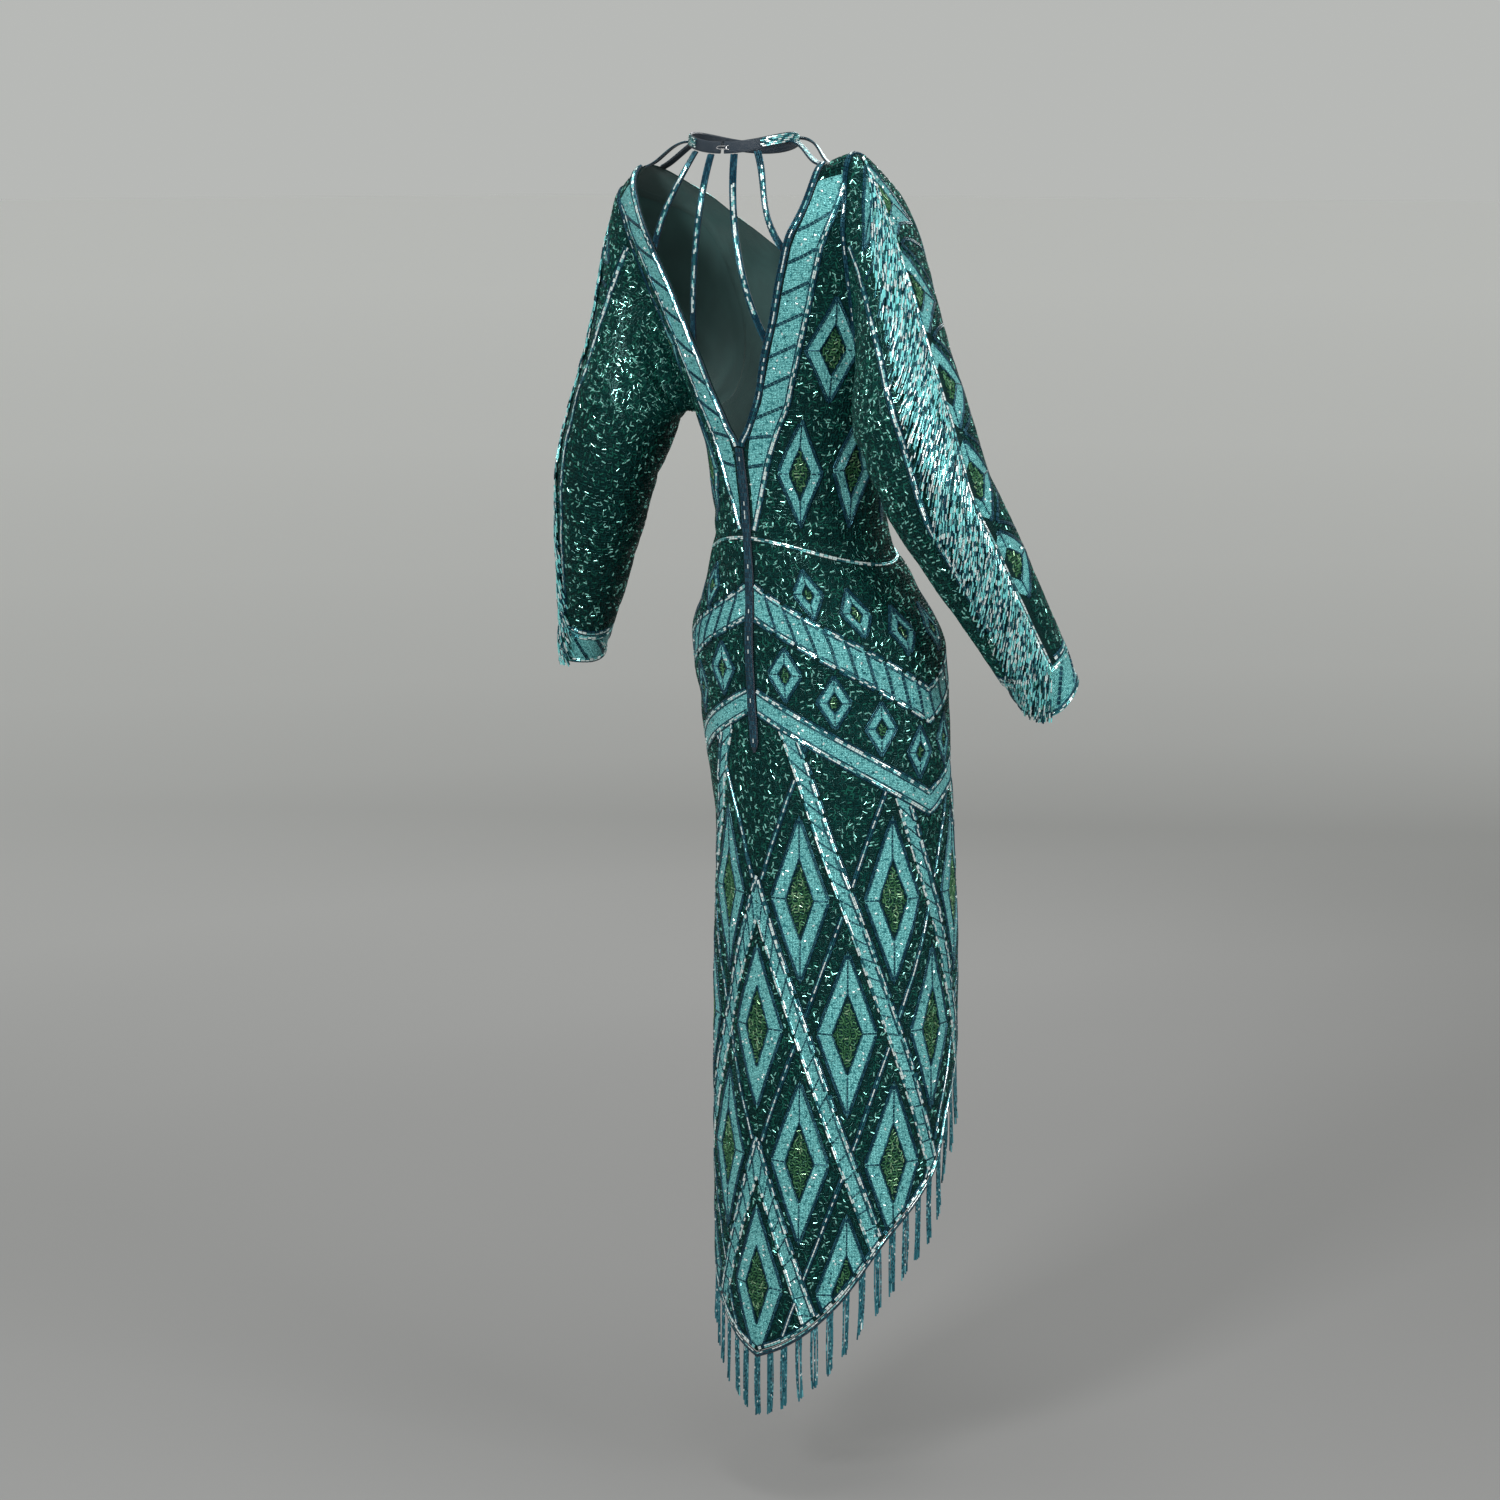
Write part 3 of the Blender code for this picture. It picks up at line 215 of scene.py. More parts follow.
BODY_CREASES = (                  # from turn, level, to turn, level, half width, depth
    (14.0, -0.393, 66.0, -0.418, 0.01, -0.0022), (30.0, -0.442, 84.0, -0.427, 0.011, -0.0026),
    (88.0, -0.322, 54.0, -0.376, 0.01, -0.0024), (8.0, -0.456, 40.0, -0.472, 0.009, -0.0014),
    (52.0, -0.135, 60.0, -0.245, 0.013, -0.0028), (46.0, -0.518, 86.0, -0.495, 0.012, -0.0018),
    (34.0, -0.606, 80.0, -0.642, 0.016, -0.0022), (26.0, -0.74, 20.0, -1.13, 0.02, -0.003),
    (58.0, -0.79, 66.0, -1.11, 0.022, -0.0028), (44.0, -0.87, 40.0, -1.23, 0.018, 0.0022),
    (-12.0, -0.398, -58.0, -0.411, 0.01, -0.002), (-26.0, -0.435, -86.0, -0.444, 0.01, -0.0028),
    (-86.0, -0.326, -60.0, -0.389, 0.011, -0.0026), (-48.0, -0.145, -62.0, -0.26, 0.012, -0.003),
    (-40.0, -0.506, -84.0, -0.527, 0.013, -0.0016), (-30.0, -0.631, -74.0, -0.604, 0.015, -0.002),
    (-22.0, -0.76, -30.0, -1.17, 0.021, -0.0032), (-60.0, -0.75, -52.0, -1.06, 0.02, -0.0026),
    (-76.0, -0.82, -80.0, -1.07, 0.018, 0.0024), (-42.0, -0.91, -44.0, -1.21, 0.017, 0.002),
    (156.0, -0.248, 104.0, -0.308, 0.013, -0.003), (112.0, -0.409, 168.0, -0.395, 0.01, -0.0024),
    (98.0, -0.438, 150.0, -0.452, 0.011, -0.0022), (118.0, -0.546, 172.0, -0.58, 0.014, -0.0026),
    (132.0, -0.7, 140.0, -0.93, 0.021, -0.003), (160.0, -0.64, 168.0, -0.88, 0.019, -0.0024),
    (-152.0, -0.26, -106.0, -0.313, 0.012, -0.0028),
    (-108.0, -0.402, -164.0, -0.413, 0.011, -0.0026),
    (-100.0, -0.456, -146.0, -0.44, 0.01, -0.0018),
    (-124.0, -0.571, -170.0, -0.554, 0.014, -0.0028),
    (-128.0, -0.68, -136.0, -0.95, 0.02, -0.0028), (-158.0, -0.67, -162.0, -0.91, 0.02, -0.0026),
)
SWELL = 0.0006                    # height of the cloth's slow unevenness
YOKE_ROWS = (4, 46)               # rows of cloth below the corner of an edge and above it
HIP_ROWS, SKIRT_ROWS = 46, 56
HALF_COLUMNS = 28
MERGED = 0.00002                  # corners closer than this are one


def unit(vectors):
    return vectors / np.linalg.norm(vectors, axis=-1, keepdims=True)


def bend(t, start, leaving, end, arriving):
    """Smooth curve between two values or places, with its slopes there."""
    t2, t3 = t * t, t * t * t
    return ((2 * t3 - 3 * t2 + 1) * start + (t3 - 2 * t2 + t) * leaving
            + (3 * t2 - 2 * t3) * end + (t3 - t2) * arriving)


def eased(stations, values, at):
    """Values between stations, on a smooth curve that does not pass beyond any of them."""
    steps = np.diff(stations)
    rises = np.diff(values) / steps
    slopes = np.zeros_like(values)
    before, after = rises[:-1], rises[1:]
    keeps_on = before * after > 0
    weight_before = 2 * steps[1:] + steps[:-1]
    weight_after = steps[1:] + 2 * steps[:-1]
    mean = (weight_before + weight_after) / (weight_before / np.where(keeps_on, before, 1.0)
                                             + weight_after / np.where(keeps_on, after, 1.0))
    slopes[1:-1] = np.where(keeps_on, mean, 0.0)
    slopes[0], slopes[-1] = rises[0], rises[-1]
    row = np.clip(np.searchsorted(stations, at, side="right") - 1, 0, len(steps) - 1)
    return bend((at - stations[row]) / steps[row], values[row], steps[row] * slopes[row],
                values[row + 1], steps[row] * slopes[row + 1])


def from_rows(rows, at, index=1):
    """A column of a table at given stations, which run up or down the first column."""
    table = np.array(rows, dtype=float)
    way = 1.0 if table[-1, 0] > table[0, 0] else -1.0
    return eased(way * table[:, 0], table[:, index], way * np.asarray(at, dtype=float))


def lengths_along(points):
    """Length of a line of points from its start to each of them."""
    steps = np.linalg.norm(np.diff(points, axis=0), axis=1)
    return np.concatenate([[0.0], np.cumsum(steps)])


def at_lengths(line, reach, at):
    """Places on a line of points whose lengths from its start are given by reach."""
    return np.stack([np.interp(at, reach, line[:, axis]) for axis in range(line.shape[1])], axis=-1)


def along(points, fractions):
    """Points at the given fractions of the length of a smooth curve through some points."""
    points = np.asarray(points, dtype=float)
    reach = lengths_along(points)
    at = np.asarray(fractions) * reach[-1]
    return np.stack([eased(reach, points[:, axis], at) for axis in range(points.shape[1])], axis=-1)


def signed(turn):
    """A turn as -180 to 180 degrees from the centre back."""
    return (np.asarray(turn, dtype=float) + 180.0) % 360.0 - 180.0


def form_ring(level):
    """Centre, half width, back and fore depth and squareness of the figure at a level."""
    return [from_rows(FORM_ROWS, level, index) for index in range(1, 7)]


def on_form(turn, level):
    """Point on the figure at a turn and a level."""
    level = np.minimum(level, CROWN)
    side_shift, fore_shift, half_width, back, fore, squareness = form_ring(level)
    around = np.radians(turn)
    across, away = np.sin(around), np.cos(around)
    depth = np.where(away > 0, back, fore)
    x = side_shift + half_width * np.sign(across) * np.abs(across) ** (2 / squareness)
    y = fore_shift + depth * np.sign(away) * np.abs(away) ** (2 / squareness)
    fade = np.clip((level - SHOULDER_BASE) / (CROWN - SHOULDER_BASE), 0.0, 1.0)
    lift = from_rows(SHOULDER_ROWS, x)
    return np.stack([x, y, level + lift * fade * fade * (3 - 2 * fade)], axis=-1)


def creased(across, down, creases, across_length):
    """Height of the cloth over its plain form: soft troughs and ridges and a slow swell.

    across and the creases' own are in units of across_length; down is in metres."""
    height = SWELL * (np.sin(across * across_length * 74.0 + 3.0 * np.sin(down * 31.0))
                      * np.sin(down * 57.0 + 1.3))
    for x0, y0, x1, y1, half_width, depth in creases:
        run = np.array([(x1 - x0) * across_length, y1 - y0])
        length = np.linalg.norm(run)
        run = run / length
        off_x, off_y = (across - x0) * across_length, down - y0
        t = np.clip((off_x * run[0] + off_y * run[1]) / length, -0.3, 1.3)
        aside = (off_x * run[1] - off_y * run[0]) / half_width
        fade = np.clip(np.sin(math.pi * (t + 0.1) / 1.2), 0.0, 1.0) ** 0.7
        height = height + depth * fade * np.exp(-aside * aside)
    return height


def body_cloth(turn, level, lift=0.0):
    """Points on the cloth of the body, lifted off its face, and the normals there."""
    turn, level = np.broadcast_arrays(np.asarray(turn, dtype=float), np.asarray(level, dtype=float))
    step_turn, step_down = 0.4, 0.0008
    onward = unit(on_form(turn + step_turn, level) - on_form(turn - step_turn, level))
    down = unit(on_form(turn, level - step_down) - on_form(turn, level + step_down))
    normal = unit(np.cross(onward, down))

    def height(shift_turn, shift_level):
        return creased(signed(turn) + shift_turn, level + shift_level, BODY_CREASES, 0.0024)

    across_slope = (height(1.0, 0.0) - height(-1.0, 0.0)) / 0.0048
    down_slope = (height(0.0, -0.002) - height(0.0, 0.002)) / 0.004
    points = on_form(turn, level) + normal * (height(0.0, 0.0) + np.asarray(lift))[..., None]
    return points, unit(normal - onward * across_slope[..., None] - down * down_slope[..., None])


def turn_at(half_gap, level):
    """Turn from the centre back, or from the centre front, that lies half_gap to the side."""
    ring = form_ring(level)
    half_width, squareness = ring[2], ring[5]
    share = np.clip(np.asarray(half_gap) / half_width, 0.0, 1.0)
    return np.degrees(np.arcsin(share ** (squareness / 2)))


def even_rows(turns, levels, rows_below, rows_above, corner_level):
    """Rows up an edge, even in length on the cloth below and above a corner."""
    reach = lengths_along(on_form(turns, levels))
    corner = float(np.interp(corner_level, levels, reach))
    stops = np.concatenate([np.linspace(0.0, corner, rows_below + 1)[:-1],
                            np.linspace(corner, reach[-1], rows_above + 1)])
    return np.interp(stops, reach, turns), np.interp(stops, reach, levels)


def armhole_line(behind):
    """The seam up the side from the yoke's base and the armhole above it, as turns and levels."""
    points = [(0.0, YOKE_BASE)]
    for level, *angles in ARMHOLE_ROWS:
        points.append((angles[0 if behind else 1] * DEGREE_LENGTH, level))
    line = along(points, np.linspace(0, 1, FINE))
    turns = 90.0 - line[:, 0] / DEGREE_LENGTH
    inset = np.degrees(SEAM / 2 / form_ring(line[:, 1])[3].clip(min=0.08))
    return (turns - inset, line[:, 1]) if behind else (180.0 - turns + inset, line[:, 1])


def neck_line(behind):
    """The edge of the back V, or the centre front with the neckline, as turns and levels."""
    rows = BACK_V_ROWS if behind else NECKLINE_ROWS
    points = [(rows[0][1], YOKE_BASE)] + [(gap, level) for level, gap in rows]
    line = along(points, np.linspace(0, 1, FINE))
    turns = turn_at(line[:, 0].clip(min=0.0), line[:, 1])
    if behind:
        return turns, line[:, 1]
    turns = np.where(line[:, 1] <= NECKLINE_ROWS[0][0], 0.0, turns)
    return 180.0 - turns, line[:, 1]


def hem_level(turn):
    return HEM_POINT + from_rows(HEM_ROWS, np.abs(signed(turn)))


def half_lattice(behind, side):
    """Turns and levels over half a back or half the front, rows from the shoulder to the hem."""
    inner_corner = BACK_V_ROWS[0][0] if behind else NECKLINE_ROWS[0][0]
    below = YOKE_ROWS[0] if behind else 4 * YOKE_ROWS[0]
    inner = even_rows(*neck_line(behind), below, sum(YOKE_ROWS) - below, inner_corner)
    outer = even_rows(*armhole_line(behind), *YOKE_ROWS, ARMPIT)
    share = np.linspace(0, 1, HALF_COLUMNS + 1)
    turns, levels = (one[:, None] * (1 - share) + other[:, None] * share
                     for one, other in zip(inner, outer))
    base = turns[0]
    hip_levels = np.linspace(YOKE_BASE, HIP_BASE, HIP_ROWS + 1)[1:]
    low = [np.full_like(base, value) for value in hip_levels]
    hem = hem_level(base)
    low += [HIP_BASE + (hem - HIP_BASE) * step / SKIRT_ROWS for step in range(1, SKIRT_ROWS + 1)]
    turns = np.concatenate([turns[::-1], np.broadcast_to(base, (len(low), len(base)))])
    levels = np.concatenate([levels[::-1], np.stack(low)])
    if (side > 0) != behind:
        turns, levels = turns[:, ::-1], levels[:, ::-1]
    return side * turns, levels


def make_beading_grain():
    """Close rows of small sewn beads: their colour, uneven from bead to bead, and their height."""
    group = bpy.data.node_groups.new("beading_grain", "ShaderNodeTree")
    for socket, kind, way, value in (
            ("Vector", "Vector", "INPUT", None), ("Colour", "Color", "INPUT", (0.1, 0.4, 0.4, 1)),
            ("Between", "Color", "INPUT", (0.01, 0.03, 0.03, 1)),
            ("Beads in a metre", "Float", "INPUT", 520.0), ("Gaps", "Float", "INPUT", 0.0),
            ("Colour", "Color", "OUTPUT", None), ("Height", "Float", "OUTPUT", None)):
        made = group.interface.new_socket(socket, in_out=way, socket_type="NodeSocket" + kind)
        if value is not None:
            made.default_value = value
    given, out = group.nodes.new("NodeGroupInput").outputs, group.nodes.new("NodeGroupOutput")
    rows = add_node(group, "TexVoronoi", {"Randomness": 0.35, "Vector": given["Vector"],
                                          "Scale": given["Beads in a metre"]})
    dome = add_node(group, "MapRange", {"From Min": 0.15, "From Max": 0.62, "To Min": 1.0,
                                        "To Max": 0.0, "Value": rows.outputs["Distance"]})
    apart = add_node(group, "SeparateColor", {"Color": rows.outputs["Color"]})
    value = add_node(group, "MapRange", {"To Min": 0.72, "To Max": 1.25,
                                         "Value": apart.outputs["Red"]})
    tone = add_node(group, "HueSaturation", {"Value": value.outputs["Result"],
                                             "Color": given["Colour"]})
    wide = add_node(group, "Math", {0: given["Beads in a metre"], 1: 0.42}, operation="MULTIPLY")
    clumps = add_node(group, "TexNoise", {"Detail": 1.0, "Vector": given["Vector"],
                                          "Scale": wide.outputs["Value"]})
    missing = add_node(group, "MapRange", {"From Min": 0.58, "From Max": 0.7,
                                           "To Max": given["Gaps"], "Value": clumps.outputs["Fac"]})
    covered = add_node(group, "Math", {0: dome.outputs["Result"], 1: missing.outputs["Result"]},
                       operation="SUBTRACT", use_clamp=True)
    mix = add_node(group, "Mix", {"Factor": covered.outputs["Value"], "A": given["Between"],
                                  "B": tone.outputs["Color"]}, data_type="RGBA")
    feed(group, out, {"Colour": mix.outputs["Result"], "Height": dome.outputs["Result"]})
    return group


beading_grain = make_beading_grain()
TEAL_GLINT = (0.45, 0.95, 0.9, 1)


def beaded_ground(name, colour, between, per_metre, roughness, relief, gaps=0.0):
    """Cloth closely covered with small beads, its pattern on the piece's own map in metres."""
    material, tree, shader = new_material(name, {
        "Roughness": roughness, "Specular IOR Level": 0.16, "Specular Tint": TEAL_GLINT})
    place = add_node(tree, "UVMap", {}, uv_map="cloth")
    grain = add_node(tree, "Group", {}, node_tree=beading_grain)
    feed(tree, grain, {"Colour": (*colour, 1), "Between": (*between, 1), "Gaps": gaps,
                       "Beads in a metre": per_metre, "Vector": place.outputs["UV"]})
    bump = add_node(tree, "Bump", {"Distance": relief, "Strength": 1.0,
                                   "Height": grain.outputs["Height"]})
    feed(tree, shader, {"Base Color": grain.outputs["Colour"], "Normal": bump.outputs["Normal"]})
    return material


def woven(name, colour, roughness, threads, sheen):
    """Plain woven cloth with its threads, as on the wrong side and on satin bands."""
    material, tree, shader = new_material(name, {"Roughness": roughness, "Sheen Weight": sheen})
    place = add_node(tree, "UVMap", {}, uv_map="cloth").outputs["UV"]
    warp, weft = (add_node(tree, "TexWave", {"Scale": threads, "Distortion": 0.6, "Vector": place},
                           bands_direction=direction) for direction in ("X", "Y"))
    both = add_node(tree, "Math", {0: warp.outputs["Fac"], 1: weft.outputs["Fac"]}, operation="ADD")
    bump = add_node(tree, "Bump", {"Distance": 0.00008, "Height": both.outputs["Value"]})
    clouds = add_node(tree, "TexNoise", {"Scale": 60.0, "Vector": place})
    tint = add_node(tree, "Mix", {"A": (*[value * 0.72 for value in colour], 1),
                                  "B": (*[min(value * 1.2, 1.0) for value in colour], 1),
                                  "Factor": clouds.outputs["Fac"]}, data_type="RGBA")
    feed(tree, shader, {"Base Color": tint.outputs["Result"], "Normal": bump.outputs["Normal"]})
    return material


ground_cloth = beaded_ground("teal_ground", (0.002, 0.024, 0.023), (0.001, 0.01, 0.01), 420.0,
                             0.38, 0.0005)
wrong_side = woven("teal_wrong_side", (0.028, 0.09, 0.085), 0.62, 900.0, 0.25)


def chosen(piece):
    """The piece alone chosen, for the tools that work on the chosen one."""
    bpy.ops.object.select_all(action="DESELECT")
    piece.select_set(True)
    bpy.context.view_layer.objects.active = piece
    return piece


def merge_edges(piece):
    """Corners in the same place become one."""
    chosen(piece)
    bpy.ops.object.mode_set(mode="EDIT")
    bpy.ops.mesh.select_all(action="SELECT")
    bpy.ops.mesh.remove_doubles(threshold=MERGED)
    bpy.ops.object.mode_set(mode="OBJECT")
    bpy.ops.object.select_all(action="DESELECT")


def sheet_over(name, grid, closed=False):
    """A mesh grid laid through points, rows down and columns round, mapped in metres."""
    rows, cols = grid.shape[:2]
    bpy.ops.mesh.primitive_grid_add(x_subdivisions=cols - 1, y_subdivisions=rows - 1, size=1.0,
                                    calc_uvs=True)
    piece = bpy.context.object
    piece.name = name
    piece.data.name = name
    piece.data.vertices.foreach_set("co", grid.reshape(-1).astype(np.float32))
    round_way, down_way = lengths_along(grid[rows // 2]), lengths_along(grid[:, cols // 2])
    corners = np.zeros(len(piece.data.loops), dtype=np.int32)
    piece.data.loops.foreach_get("vertex_index", corners)
    places = np.stack([round_way[corners % cols], -down_way[corners // cols]], axis=-1)
    piece.data.uv_layers[0].name = "cloth"
    piece.data.uv_layers[0].uv.foreach_set("vector", places.reshape(-1).astype(np.float32))
    if closed:
        merge_edges(piece)
    bpy.ops.object.select_all(action="DESELECT")
    return piece


def cloth_wall(piece, cloths, thickness, node=None):
    """The sheet's wall, thickened inwards, its wrong side in the second cloth. It may stand for a
    solid."""
    for cloth in cloths:
        piece.data.materials.append(cloth)
    chosen(piece)
    wall = piece.modifiers.new("wall", "SOLIDIFY")
    wall.thickness = thickness
    wall.offset = -1.0
    wall.material_offset = 1
    bpy.ops.object.modifier_apply(modifier=wall.name)
    bpy.ops.object.shade_smooth_by_angle(angle=math.radians(50))
    bpy.ops.object.select_all(action="DESELECT")
    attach(piece, "root")
    if node:
        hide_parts(node)
    return piece


def joined(pieces, name):
    """Several meshes as one, merged where their edges meet."""
    for piece in pieces:
        piece.select_set(True)
    bpy.context.view_layer.objects.active = pieces[0]
    bpy.ops.object.join()
    merge_edges(pieces[0])
    pieces[0].name = name
    return pieces[0]


for side, side_name in SIDES:
    grid = body_cloth(*half_lattice(True, side))[0]
    cloth_wall(sheet_over(f"back_{side_name}_cloth", grid), (ground_cloth, wrong_side), CLOTH,
               f"back_{side_name}")
halves = [sheet_over("front_half", body_cloth(*half_lattice(False, side))[0]) for side in (1, -1)]
cloth_wall(joined(halves, "front_cloth"), (ground_cloth, wrong_side), CLOTH,
           "front")

# --- sleeves -----------------------------------------------------------------------------------
# Two long set-in sleeves, each cut in one piece and sewn along the inner arm. Their caps are swept
# from the armhole to the arm, and soft folds lie at the elbow and under the arm.
LEFT_ARM_ROWS = (                 # level, side and fore place of the middle, radius
    (-0.295, 0.174, 0.006, 0.062), (-0.36, 0.198, 0.012, 0.057),
    (-0.43, 0.23, -0.003, 0.05), (-0.5, 0.267, -0.028, 0.04),
    (-0.56, 0.3, -0.049, 0.03),
)
RIGHT_ARM_ROWS = (
    (-0.295, -0.244, 0.0, 0.062), (-0.36, -0.268, -0.008, 0.059),
    (-0.43, -0.29, -0.041, 0.054), (-0.5, -0.308, -0.08, 0.046),
    (-0.56, -0.32, -0.116, 0.04),
)
LEAVE_PULL = {1: 0.3, -1: 0.26}
LEAVE_RISE = {1: -0.5, -1: 0.08}
CAP_LOW_TURN, CAP_DOWN, CAP_LOW_DOWN, CAP_EASE = 0.6, 0.55, 0.3, 1.3
SET_IN = 0.0004
ARMHOLE_STEPS = 10                # stretches of the solids' armhole, from the crown to the armpit
FINER = 4                         # columns of cloth to each of theirs
SLEEVE_COLUMNS = FINER * (2 * ARMHOLE_STEPS + 2)
RING_ANGLES = np.radians(np.arange(SLEEVE_COLUMNS) * 360.0 / SLEEVE_COLUMNS)
CAP_ROWS, ARM_ROWS = 44, 56
CUFF_LENGTH, CUFF_POINT, CUFF_POINT_TURN, CUFF_TAPER = 0.044, 0.01, 50.0, 0.14
CUFF_ROWS = 9
TIED_TOP, TIED_END = 0.02, 0.03   # folds fade out over these lengths, where a sleeve is sewn
ARM_CREASES = {                   # from round, down, to round, down, half width, depth
    1: ((0.3, 0.05, 0.46, 0.12, 0.011, -0.0034), (0.6, 0.04, 0.52, 0.13, 0.011, -0.003),
        (0.34, 0.25, 0.6, 0.285, 0.01, -0.0036), (0.4, 0.29, 0.64, 0.305, 0.009, -0.003),
        (0.28, 0.33, 0.54, 0.322, 0.009, -0.0026), (0.12, 0.18, 0.34, 0.24, 0.012, -0.002),
        (0.7, 0.2, 0.52, 0.255, 0.011, -0.0026), (0.45, 0.39, 0.62, 0.43, 0.009, -0.0018)),
    -1: ((0.26, 0.06, 0.44, 0.15, 0.012, -0.0036), (0.62, 0.05, 0.5, 0.14, 0.011, -0.003),
         (0.36, 0.27, 0.62, 0.3, 0.01, -0.0032), (0.32, 0.315, 0.58, 0.318, 0.01, -0.0034),
         (0.3, 0.365, 0.52, 0.345, 0.009, -0.0024), (0.16, 0.19, 0.36, 0.25, 0.012, -0.0018),
         (0.74, 0.23, 0.54, 0.27, 0.011, -0.0028), (0.42, 0.42, 0.6, 0.455, 0.009, -0.0018)),
}


def armhole_seam(side, columns):
    """The seam round an armhole, from the shoulder down its back edge and up its front edge, and
    its turns and levels."""
    edges = []
    for behind in (True, False):
        turns, levels = armhole_line(behind)
        reach = lengths_along(on_form(turns, levels))
        corner = float(np.interp(ARMPIT, levels, reach))
        stops = np.linspace(corner, reach[-1] - CROWN_REACH, ARMHOLE_STEPS + 1)
        stops = np.append(stops, reach[-1])
        edges.append((turns, levels, reach, stops))
    half = ARMHOLE_STEPS + 1
    points, seam_turns, seam_levels = [], [], []
    for place in np.arange(columns) * 2.0 * half / columns:
        behind = place <= half
        turns, levels, reach, stops = edges[0 if behind else 1]
        up = half - place if behind else place - half
        at = np.interp(up, np.arange(half + 1), stops)
        seam_turns.append(side * np.interp(at, reach, turns))
        seam_levels.append(np.interp(at, reach, levels))
        points.append(on_form(seam_turns[-1], seam_levels[-1]))
    points = np.array(points)
    other = on_form(side * edges[1][0][-1], edges[1][1][-1])
    points[0] = (points[0] + other) / 2
    return points, np.array(seam_turns), np.array(seam_levels)


def arm_ring(rows, level):
    """Middle, heading and radius of a sleeve at a level."""
    def middle(at):
        return np.array([from_rows(rows, at, 1), from_rows(rows, at, 2), at])

    heading = unit(middle(level - 0.004) - middle(level + 0.004))
    return middle(level), heading, from_rows(rows, level, 3)


def square_to(direction, *axes):
    """A direction, turned square to some others."""
    return unit(direction - sum(axis * np.dot(direction, axis) for axis in axes))


def ring_points(middle, heading, radius, side):
    """Ring round an arm, from its outer line to the back, the inner line and the front."""
    outward = square_to(np.array([side, 0.0, 0.0]), heading)
    backward = square_to(np.array([0.0, 1.0, 0.0]), heading, outward)
    angles = RING_ANGLES[:, None]
    return middle + radius * (np.cos(angles) * outward + np.sin(angles) * backward)


def sleeve_form(side, rows):
    """Plain outer face of a sleeve and its cuff, rows down and columns round."""
    loop, _, _ = armhole_seam(side, SLEEVE_COLUMNS)
    first = rows[0][0]
    middle, heading, radius = arm_ring(rows, first)
    biceps = ring_points(middle, heading, radius, side)
    around = unit((loop - loop.mean(axis=0)) * (0.0, 1.0, 1.0))
    low_share = np.clip(-around[:, 2:3], 0.0, 1.0)
    high_share = np.clip(around[:, 2:3], 0.0, 1.0)
    start = unit(np.array([side, 0.0, 0.0]) * (1.0 - CAP_LOW_TURN * low_share)
                 + heading * (CAP_DOWN + CAP_LOW_DOWN * low_share) * (1.0 - high_share)
                 + np.array([0.0, 0.0, LEAVE_RISE[side]]) * high_share)
    reach = np.linalg.norm(biceps - loop, axis=1, keepdims=True)
    sleeve = [loop + start * SET_IN]
    for step in range(1, CAP_ROWS + 1):
        t = (step / CAP_ROWS) ** CAP_EASE
        leaving = start * reach * LEAVE_PULL[side]
        sleeve.append(bend(t, sleeve[0], leaving, biceps, heading * reach))
    for level in np.linspace(first, rows[-1][0], ARM_ROWS + 1)[1:]:
        middle, heading, radius = arm_ring(rows, level)
        sleeve.append(ring_points(middle, heading, radius, side))
    point = CUFF_POINT * np.clip(np.cos(RING_ANGLES - math.radians(CUFF_POINT_TURN)), 0.0, 1.0) ** 2
    cuff = []
    for share in np.linspace(0, 1, CUFF_ROWS + 1):
        ring = ring_points(middle, heading, radius * (1.0 - CUFF_TAPER * share), side)
        cuff.append(ring + heading * (SEAM + (CUFF_LENGTH + point) * share)[:, None])
    return np.stack(sleeve), np.stack(cuff)


def outward_of(grid):
    """Outward normals of rings of points."""
    onward = np.roll(grid, -1, axis=1) - np.roll(grid, 1, axis=1)
    normals = unit(np.cross(np.gradient(grid, axis=0), onward))
    inside = grid.mean(axis=1, keepdims=True)
    return normals if np.sum(normals * (grid - inside)) > 0 else -normals


